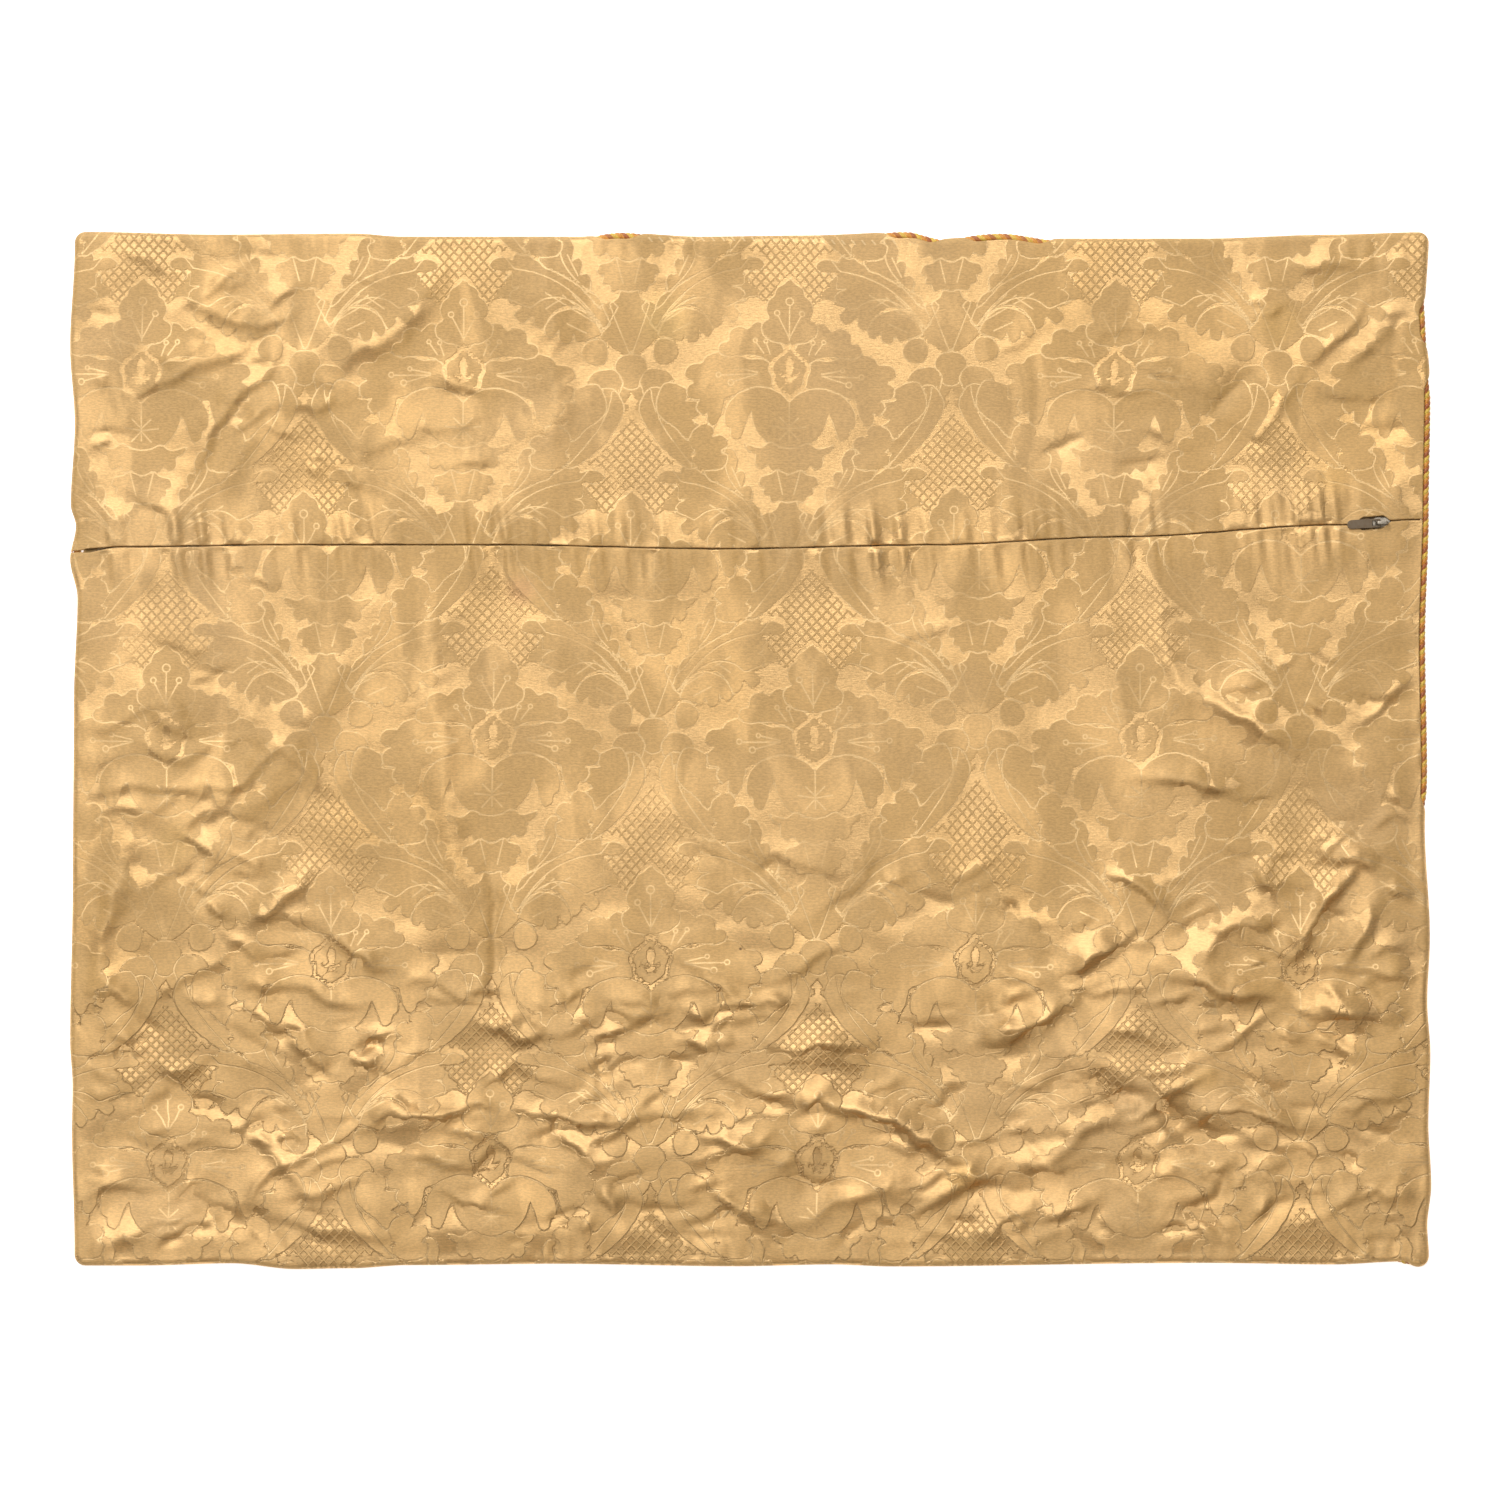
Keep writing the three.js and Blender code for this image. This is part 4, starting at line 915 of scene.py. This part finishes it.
def makeFrontSilk():
    silk = Finish("front silk")
    coords = silk.clothPlace()
    slub = silk.noise(coords, (16, 1500), {"Detail": 3.0})
    weave = silk.noise(coords, (1600, 1600), {"Detail": 1.0})
    silk.put(silk.shader, {
        "Base Color": silk.mix(silk.ramp(slub, 0.3, 0.7), frontSilk["base"], frontSilk["deep"]),
        "Normal": silk.bump(silk.plus(slub, silk.times(weave, 0.6)), 0.35, 0.0003),
        "Roughness": 0.5,
        "Sheen Weight": 0.2,
    })
    return silk.material


# One panel of the back. side is 1 above the zip and -1 below it.
zipLevelY = 92
panels = {
    "backUpper": {"side": 1, "node": "back_upper", "step": 1.35, "every": 5, "unitAt": (17.7, 170.8),
                  "flat": (0.632, 0.168)},
    "backLower": {"side": -1, "node": "back_lower", "step": 1.62, "every": 5, "unitAt": (28.9, 7.0),
                  "flat": (0.632, 0.352)},
}
# the slit beside the zip: half its width closed and at the slider, and a gape at its left end
slit = {"closed": 0.14, "open": 2.7, "from": 278.8, "to": 287.9, "ramp": 3.5, "lipRadius": 0.5,
        "waver": 0.08, "waverTo": (258, 270), "gape": 0.6, "gapeFrom": (-300.5, -295),
        "gapeTo": (-296, -284)}
# the damask of the lower panel is eased up or down where the cloth puffs: y, shift
patternEase = [(-184, 0), (-94, 5.6), (7, 0), (90, 0)]


def lipHalf(x):
    opened = smoothStep(slit["from"] - slit["ramp"], slit["from"], x)
    opened = opened * (1 - smoothStep(slit["to"], slit["to"] + slit["ramp"], x))
    gaping = smoothStep(*slit["gapeFrom"], x) * (1 - smoothStep(*slit["gapeTo"], x))
    return blendOf(slit["closed"], slit["open"], opened) + slit["gape"] * gaping


def makeBackPanel(name):
    panel = panels[name]
    side = panel["side"]
    halfW, halfH = cover["halfWidth"], cover["halfHeight"]
    columns = GridLines(rimLines, rimLines, 2 * halfW, panel["step"])
    starts, ends = (lipLines, rimLines) if side > 0 else (rimLines, lipLines)
    rows = GridLines(starts, ends, halfH - side * zipLevelY, panel["step"]).upwards()
    if side > 0:
        outSide, outLength, lipSide, lipLength = rows.isEnd, rows.end, rows.isStart, rows.start
    else:
        outSide, outLength, lipSide, lipLength = rows.isStart, rows.start, rows.isEnd, rows.end
    outerEdge = "top" if side > 0 else "bottom"

    # plain places first: they say which part of each edge a grid line meets
    rim = rimLines[-1]
    plainX = columns.spread(-halfW + rim, halfW - rim, -halfW + columns.start, halfW - columns.end)
    waver = slit["waver"] * softNoise(plainX, plainX * 0, 16, 51 + side, 1.0, 6)
    waver *= 1 - smoothStep(*slit["waverTo"], plainX)
    lip = zipY(plainX) + side * lipHalf(plainX) + side * 0.25 * np.abs(waver) + waver
    lowY, highY = (lip, halfH) if side > 0 else (-halfH, lip)
    betweenY = blendOf(lowY + starts[-1], highY - ends[-1], rows.share)
    plainY = np.where(rows.isStart, lowY + rows.start, np.where(rows.isEnd, highY - rows.end, betweenY))
    plainX = np.broadcast_to(plainX, plainY.shape)

    # real places: the cloth rolls over the cord at its outer edges
    lengthX = np.where(columns.isStart | columns.isEnd, columns.start + columns.end, rim)
    insetLeft, dropLeft = rolledEdge("left", plainY, lengthX)
    insetRight, dropRight = rolledEdge("right", plainY, lengthX)
    insetOuter, dropOuter = rolledEdge(outerEdge, plainX, np.where(outSide, outLength, rim))
    left, right = -halfW + insetLeft, halfW - insetRight
    x = columns.spread(left, right, left, right)
    movedIn = rim - rolledEdge(outerEdge, plainX, rim)[0]
    y = betweenY + side * movedIn * (rows.share if side > 0 else 1 - rows.share)
    y = np.where(lipSide, lip + side * lipLength, np.where(outSide, side * (halfH - insetOuter), y))

    # rounded corners, then the height
    fromLeft = x + halfW - follow(outline["left"], plainY)
    fromSide = np.minimum(fromLeft, halfW - x - follow(outline["right"], plainY))
    fromEnd = halfH - side * y - follow(outline[outerEdge], plainX)
    across, up = roundCorner(fromSide, fromEnd, cover["cornerRadius"])
    x = x + np.where(plainX < 0, 1, -1) * (across - fromSide)
    y = y - side * (up - fromEnd)
    dropSide = np.where(columns.isEnd, dropRight, dropLeft * columns.isStart)
    drop = np.minimum(np.hypot(dropSide, dropOuter * outSide), rollRadius * 1.2)
    radius = slit["lipRadius"]
    bend = 1 - np.minimum(np.where(lipSide, lipLength, radius), radius) / radius
    lipDrop = radius * (1 - np.sqrt(1 - bend * bend))
    z = backLevel(x, y, np.minimum(across, up)) - drop - lipDrop
    top = np.stack([x, y, z], axis=2)
    mesh, i, j = clothShell(name, top, underSide(top, cover["cloth"]), panel["every"])

    # flat cloth coordinates: the repeat is read where the cloth would lie if it were spread
    stretchX = np.hypot(np.gradient(x, axis=1), np.gradient(z, axis=1) * 0.5)
    flatX = np.cumsum(stretchX, axis=1)
    middle = [x.shape[1] // 2]
    flatX = flatX - flatX[:, middle] + x[:, middle]
    flatX = blendOf(flatX, x, 0.5)
    flatY = y + (follow(patternEase, y) if side < 0 else 0)
    # the woven columns waver a little, as they do in washed cloth
    u = flatX[j, i] + damask["waver"] * softNoise(x[j, i], y[j, i], 150, 81)
    v = flatY[j, i] + damask["waver"] * softNoise(x[j, i], y[j, i], 130, 82)
    writeUv(mesh, "cloth", u * mm, v * mm)
    for key, drawn in repeatMaps.items():
        writeAttribute(mesh, key, readRepeat(drawn, u - panel["unitAt"][0], v - panel["unitAt"][1]))
    mesh.materials.append(makeDamask("damask " + name[4:].lower(), panel["unitAt"]))
    return fixToCover(newObject(name, mesh), panel["node"])


frontSheet = {"step": 6, "thickness": 1.1, "lift": 2.1, "liftFrom": 3.6, "radius": 6, "seamGap": 0.35,
              "rim": [0, 0.7, 1.5, 2.5, 3.8, 6], "flat": (0.632, 0.486)}


def makeFrontPanel():
    halfW, halfH = cover["halfWidth"], cover["halfHeight"]
    steps = frontSheet["rim"]
    columns = GridLines(steps, steps, 2 * halfW, frontSheet["step"])
    rows = GridLines(steps, steps, 2 * halfH, frontSheet["step"]).upwards()
    plainX, plainY = np.broadcast_arrays(columns.spread(-halfW, halfW, -halfW, halfW),
                                         rows.spread(-halfH, halfH, -halfH, halfH))
    off = cover["cordRadius"] + frontSheet["seamGap"]
    left = -halfW + cordInset("left", plainY) + off
    right = halfW - cordInset("right", plainY) - off
    bottom = -halfH + cordInset("bottom", plainX) + off
    top = halfH - cordInset("top", plainX) - off
    x = columns.spread(left + steps[-1], right - steps[-1], left + columns.start, right - columns.end)
    y = rows.spread(bottom + steps[-1], top - steps[-1], bottom + rows.start, top - rows.end)
    fromSide, fromEnd = np.minimum(x - left, right - x), np.minimum(y - bottom, top - y)
    across, up = roundCorner(fromSide, fromEnd, frontSheet["radius"])
    x = x + np.where(plainX < 0, 1, -1) * (across - fromSide)
    y = y + np.where(plainY < 0, 1, -1) * (up - fromEnd)
    lift = frontSheet["lift"] * (1 - smoothStep(0, frontSheet["liftFrom"], np.minimum(across, up)))
    upper = np.stack([x, y, frontSheet["thickness"] + lift], axis=2)
    lower = np.stack([x, y, lift], axis=2)
    mesh, i, j = clothShell("frontPanel", upper, lower, 2)
    writeUv(mesh, "cloth", x[j, i] * mm, y[j, i] * mm)
    mesh.materials.append(makeFrontSilk())
    return fixToCover(newObject("frontPanel", mesh), "front_panel")


# The trim cord: three twisted strands in one lobed section, swept along the seam
trim = {
    "step": 0.55,
    "sides": 12,
    "pitch": 7.2,
    "lobe": 0.16,
    "corner": 7.0,
    "sideSteps": 90,
    "raise": 1.03,
    "strands": [("cord yellow", (0.84, 0.56, 0.08, 1)), ("cord orange", (0.76, 0.31, 0.04, 1)),
                ("cord rust", (0.46, 0.13, 0.03, 1))],
}


def makeYarn(name, colour):
    yarn = Finish(name)
    coords = yarn.objectPlace()
    fibre = yarn.noise(coords, 2600.0)
    wide = yarn.noise(coords, 60.0)
    dark = (*(0.72 * part for part in colour[:3]), 1)
    mixed = yarn.mix(yarn.ramp(fibre, 0.35, 0.65), colour, dark)
    mixed = yarn.mix(yarn.ramp(wide, 0.4, 0.7, 0.0, 0.25), mixed, damaskSilk["ochre"])
    yarn.put(yarn.shader, {
        "Base Color": mixed,
        "Normal": yarn.bump(fibre, 0.5, 0.0002),
        "Roughness": 0.5,
        "Sheen Weight": 0.2,
    })
    return yarn.material


# points of the seam in order round the cover, evenly apart
def seamRun():
    halfW, halfH, bend = cover["halfWidth"], cover["halfHeight"], trim["corner"]
    corners = [(1, 1), (-1, 1), (-1, -1), (1, -1)]
    points = []
    for turn, corner in enumerate(corners):
        stops = [(corner, (turn + k / 8) * math.pi / 2) for k in range(9)]
        ahead = corners[(turn + 1) % 4]
        for k in range(1, trim["sideSteps"]):
            t = k / trim["sideSteps"]
            stops.append(((blendOf(corner[0], ahead[0], t), blendOf(corner[1], ahead[1], t)),
                          (turn + 1) * math.pi / 2))
        for (cx, cy), angle in stops:
            points.append((cx * (halfW - bend) + bend * math.cos(angle),
                           cy * (halfH - bend) + bend * math.sin(angle)))
    x, y = np.array(points).T
    seamX = x * (1 - np.where(x < 0, cordInset("left", y), cordInset("right", y)) / halfW)
    seamY = y * (1 - np.where(y < 0, cordInset("bottom", x), cordInset("top", x)) / halfH)
    seamX, seamY = np.append(seamX, seamX[0]), np.append(seamY, seamY[0])
    reached = np.append(0, np.cumsum(np.hypot(np.diff(seamX), np.diff(seamY))))
    even = np.linspace(0, reached[-1], round(reached[-1] / trim["step"]) + 1)[:-1]
    line = np.stack([np.interp(even, reached, seamX), np.interp(even, reached, seamY)], axis=1)
    for turn in range(6):
        line = (np.roll(line, 1, axis=0) + 2 * line + np.roll(line, -1, axis=0)) / 4
    return line, reached[-1]


def makeTrimCord():
    line, length = seamRun()
    steps, sides = len(line), trim["sides"]
    bm = bmesh.new()
    bmesh.ops.create_grid(bm, x_segments=steps, y_segments=sides, size=0.5)
    bmesh.ops.translate(bm, vec=(0.5, 0.5, 0), verts=bm.verts)
    bmesh.ops.scale(bm, vec=(steps, sides, 1), verts=bm.verts)
    for face in bm.faces:
        face.material_index = int(face.calc_center_median().y * 3 / sides) % 3
        face.smooth = True
    run = np.roll(line, -1, axis=0) - np.roll(line, 1, axis=0)
    run /= np.linalg.norm(run, axis=1, keepdims=True)
    turns = round(length / trim["pitch"])
    for vert in bm.verts:
        k = round(vert.co.x) % steps
        around = 2 * math.pi * (round(vert.co.y) % sides) / sides
        twist = around + 2 * math.pi * turns * k / steps
        lobe = 1.3 * abs(math.cos(1.5 * around + math.pi / 2)) - 1
        radius = cover["cordRadius"] * (1 + trim["lobe"] * lobe)
        out = radius * math.cos(twist)
        vert.co = Vector((line[k][0] - run[k][1] * out, line[k][1] + run[k][0] * out,
                          cover["cordRadius"] * trim["raise"] + radius * math.sin(twist))) * mm
    bmesh.ops.remove_doubles(bm, verts=bm.verts, dist=0.000002)
    bmesh.ops.recalc_face_normals(bm, faces=bm.faces)
    made = newPiece("trimCord", bm, [makeYarn(*strand) for strand in trim["strands"]])
    print("the cord runs", round(length), "mm round the seam")
    return fixToCover(made, "trim_cord")


# The zip: woven tape, a row of coil turns under it, the slider and its pull
zipParts = {
    "end": 293.0,
    "tapeWidth": 22.0,
    "tapeTop": 3.7,
    "tapeThickness": 0.5,
    "coilPitch": 1.5,
    "coilTurn": (0.9, 2.8, 1.2),      # along the zip, across it, and its height
    "coilBevel": 0.25,
    "coilGap": 0.1,
    "sliderX": 283.3,
    "sliderHalf": 4.3,
    "window": 2.7,
    "meeting": 0.15,       # from the middle to either half of the tape
}


def makeTapeCloth():
    tape = Finish("zip tape cloth")
    place = {"Vector": tape.objectPlace(), "Scale": 420.0, "Distortion": 0.6}
    ribs = tape.node("ShaderNodeTexWave", place, bands_direction="X").outputs["Fac"]
    tape.put(tape.shader, {
        "Base Color": tape.mix(ribs, (0.34, 0.22, 0.10, 1), (0.25, 0.155, 0.07, 1)),
        "Normal": tape.bump(ribs, 0.4, 0.0002),
        "Roughness": 0.75,
    })
    return tape.material


def makeCoilNylon():
    coil = Finish("coil nylon")
    speck = coil.noise(coil.objectPlace(), 900.0)
    coil.put(coil.shader, {
        "Base Color": coil.mix(speck, (0.40, 0.27, 0.12, 1), (0.33, 0.22, 0.10, 1)),
        "Roughness": 0.4,
    })
    return coil.material


def makeZipTape():
    bm = bmesh.new()
    for side in (-1, 1):
        grid = bmesh.ops.create_grid(bm, x_segments=120, y_segments=3, size=0.5)["verts"]
        for vert in grid:
            x = blendOf(-zipParts["end"], zipParts["end"], vert.co.x + 0.5)
            atSlider = abs(x - zipParts["sliderX"]) < zipParts["sliderHalf"] + 2.5
            inner = zipParts["window"] if atSlider else zipParts["meeting"]
            off = blendOf(inner, zipParts["tapeWidth"] / 2, vert.co.y + 0.5) * side
            vert.co = Vector((x, float(zipY(x)) + off, zipParts["tapeTop"])) * mm
    bmesh.ops.recalc_face_normals(bm, faces=bm.faces)
    for face in bm.faces:
        if face.normal.z < 0:
            face.normal_flip()
    bmesh.ops.solidify(bm, geom=bm.faces[:], thickness=zipParts["tapeThickness"] * mm)
    bmesh.ops.recalc_face_normals(bm, faces=bm.faces)
    return fixToCover(newPiece("zipTape", bm, [makeTapeCloth()]), "zip_tape")


def makeCoil():
    bm = bmesh.new()
    part = zipParts
    level = part["tapeTop"] - part["tapeThickness"] - part["coilTurn"][2] / 2 - part["coilGap"]
    for k in range(int(2 * part["end"] / part["coilPitch"]) + 1):
        x = -part["end"] + k * part["coilPitch"]
        if abs(x - part["sliderX"]) < part["sliderHalf"] + 1:
            continue
        turn = bmesh.ops.create_cube(bm, size=1)["verts"]
        bmesh.ops.scale(bm, vec=Vector(part["coilTurn"]) * mm, verts=turn)
        bmesh.ops.translate(bm, vec=Vector((x, float(zipY(x)), level)) * mm, verts=turn)
    sharp = [edge for edge in bm.edges if abs(edge.verts[0].co.x - edge.verts[1].co.x) < 0.0001]
    bmesh.ops.bevel(bm, geom=sharp, offset=part["coilBevel"] * mm, segments=2, profile=0.5,
                    affect="EDGES", material=-1)
    return fixToCover(newPiece("zipCoil", bm, [makeCoilNylon()]))


hardware = {
    "zip_slider": {"piece": "zipSlider", "slot": "slider_metal", "bevel": 0.28, "metallic": 1.0,
                   "colour": (0.33, 0.29, 0.235, 1), "worn": (0.24, 0.215, 0.18, 1), "roughness": 0.42},
    "zip_pull": {"piece": "zipPull", "slot": "pull_enamel", "bevel": 0.3, "metallic": 0.0,
                 "colour": (0.165, 0.120, 0.075, 1), "worn": (0.16, 0.11, 0.065, 1), "roughness": 0.68},
}


def makeWornMetal(look):
    metal = Finish(look["piece"] + " finish")
    wear = metal.noise(metal.objectPlace(), 700.0, {"Detail": 4.0})
    metal.put(metal.shader, {
        "Base Color": metal.mix(metal.ramp(wear, 0.45, 0.7), look["colour"], look["worn"]),
        "Normal": metal.bump(wear, 0.15, 0.0001),
        "Roughness": metal.ramp(wear, 0.3, 0.7, look["roughness"], look["roughness"] + 0.14),
        "Metallic": look["metallic"],
    })
    return metal.material


# degrees between two faces: below flat they become one, above sharp the edge is softened
faceAngle = {"flat": 3, "sharp": 40}


# a copy of the solid with its edges softened and a finish of its own
def makeHardware(node):
    look = hardware[node]
    bm = bmesh.new()
    bm.from_mesh(bpy.data.objects[node].data)
    bmesh.ops.remove_doubles(bm, verts=bm.verts, dist=0.000001)
    flat, steep = math.radians(faceAngle["flat"]), math.radians(faceAngle["sharp"])
    bmesh.ops.dissolve_limit(bm, angle_limit=flat, verts=bm.verts, edges=bm.edges)
    sharp = [edge for edge in bm.edges if edge.is_manifold and edge.calc_face_angle(0) > steep]
    bmesh.ops.bevel(bm, geom=sharp, offset=look["bevel"] * mm, segments=3, profile=0.5,
                    affect="EDGES", clamp_overlap=True, material=-1)
    for face in bm.faces:
        face.smooth = True
        face.material_index = 0
    bmesh.ops.triangulate(bm, faces=[face for face in bm.faces if len(face.verts) > 4])
    made = newPiece(look["piece"], bm, [makeWornMetal(look)])
    return fixToCover(made, node)


backUpper = makeBackPanel("backUpper")
backLower = makeBackPanel("backLower")
frontPanel = makeFrontPanel()
trimCord = makeTrimCord()
zipTape = makeZipTape()
zipCoil = makeCoil()
zipSlider = makeHardware("zip_slider")
zipPull = makeHardware("zip_pull")

# Floor, light and camera
studio = {
    "floor": 14.0,
    "floorLevel": -0.0003,
    "viewWidth": 0.6735,
    "viewLevel": 0.005,       # height at which the view is that wide
    "cameraHeight": 3.6,
    "cameraAt": (-0.0003, 0.0002),
    "world": 0.12,
    "warm": (1.0, 0.82, 0.58),
    "floorGlow": 0.75,
    "key": {"at": (-1.5, 3.2, 2.7), "size": (2.2, 0.9), "power": 90.0},
    "over": {"at": (-0.5, 1.35, 4.3), "size": (3.0, 2.4), "power": 128.0},
    "fill": {"at": (0.9, -2.6, 3.6), "size": (2.0, 1.4), "power": 15.0},
}


def makeStudio():
    bm = bmesh.new()
    bmesh.ops.create_grid(bm, x_segments=1, y_segments=1, size=studio["floor"] / 2)
    bmesh.ops.translate(bm, vec=(0, 0, studio["floorLevel"]), verts=bm.verts)
    white = Finish("white floor")
    white.put(white.shader, {
        "Base Color": (0.96, 0.96, 0.96, 1),
        "Roughness": 0.9,
        "Emission Color": (1, 1, 1, 1),
        "Emission Strength": studio["floorGlow"],
    })
    newPiece("floor", bm, [white.material])
    world = bpy.data.worlds.new("studio")
    world.use_nodes = True
    background = world.node_tree.nodes["Background"]
    background.inputs["Color"].default_value = (*studio["warm"], 1)
    background.inputs["Strength"].default_value = studio["world"]
    bpy.context.scene.world = world
    for name in ("key", "over", "fill"):
        spec = studio[name]
        light = bpy.data.lights.new(name, "AREA")
        light.shape = "RECTANGLE"
        light.size, light.size_y = spec["size"]
        light.energy = spec["power"]
        if name == "fill":
            light.color = studio["warm"]
        lamp = newObject(name, light)
        lamp.location = spec["at"]
        lamp.rotation_euler = (-Vector(spec["at"])).to_track_quat("-Z", "Y").to_euler()
    camera = bpy.data.cameras.new("camera")
    camera.sensor_width = 36
    camera.lens = 36 * (studio["cameraHeight"] - studio["viewLevel"]) / studio["viewWidth"]
    view = newObject("camera", camera)
    view.location = (*studio["cameraAt"], studio["cameraHeight"])
    bpy.context.scene.camera = view
    bpy.context.scene.view_settings.view_transform = "Standard"


makeStudio()
print("studio ready")
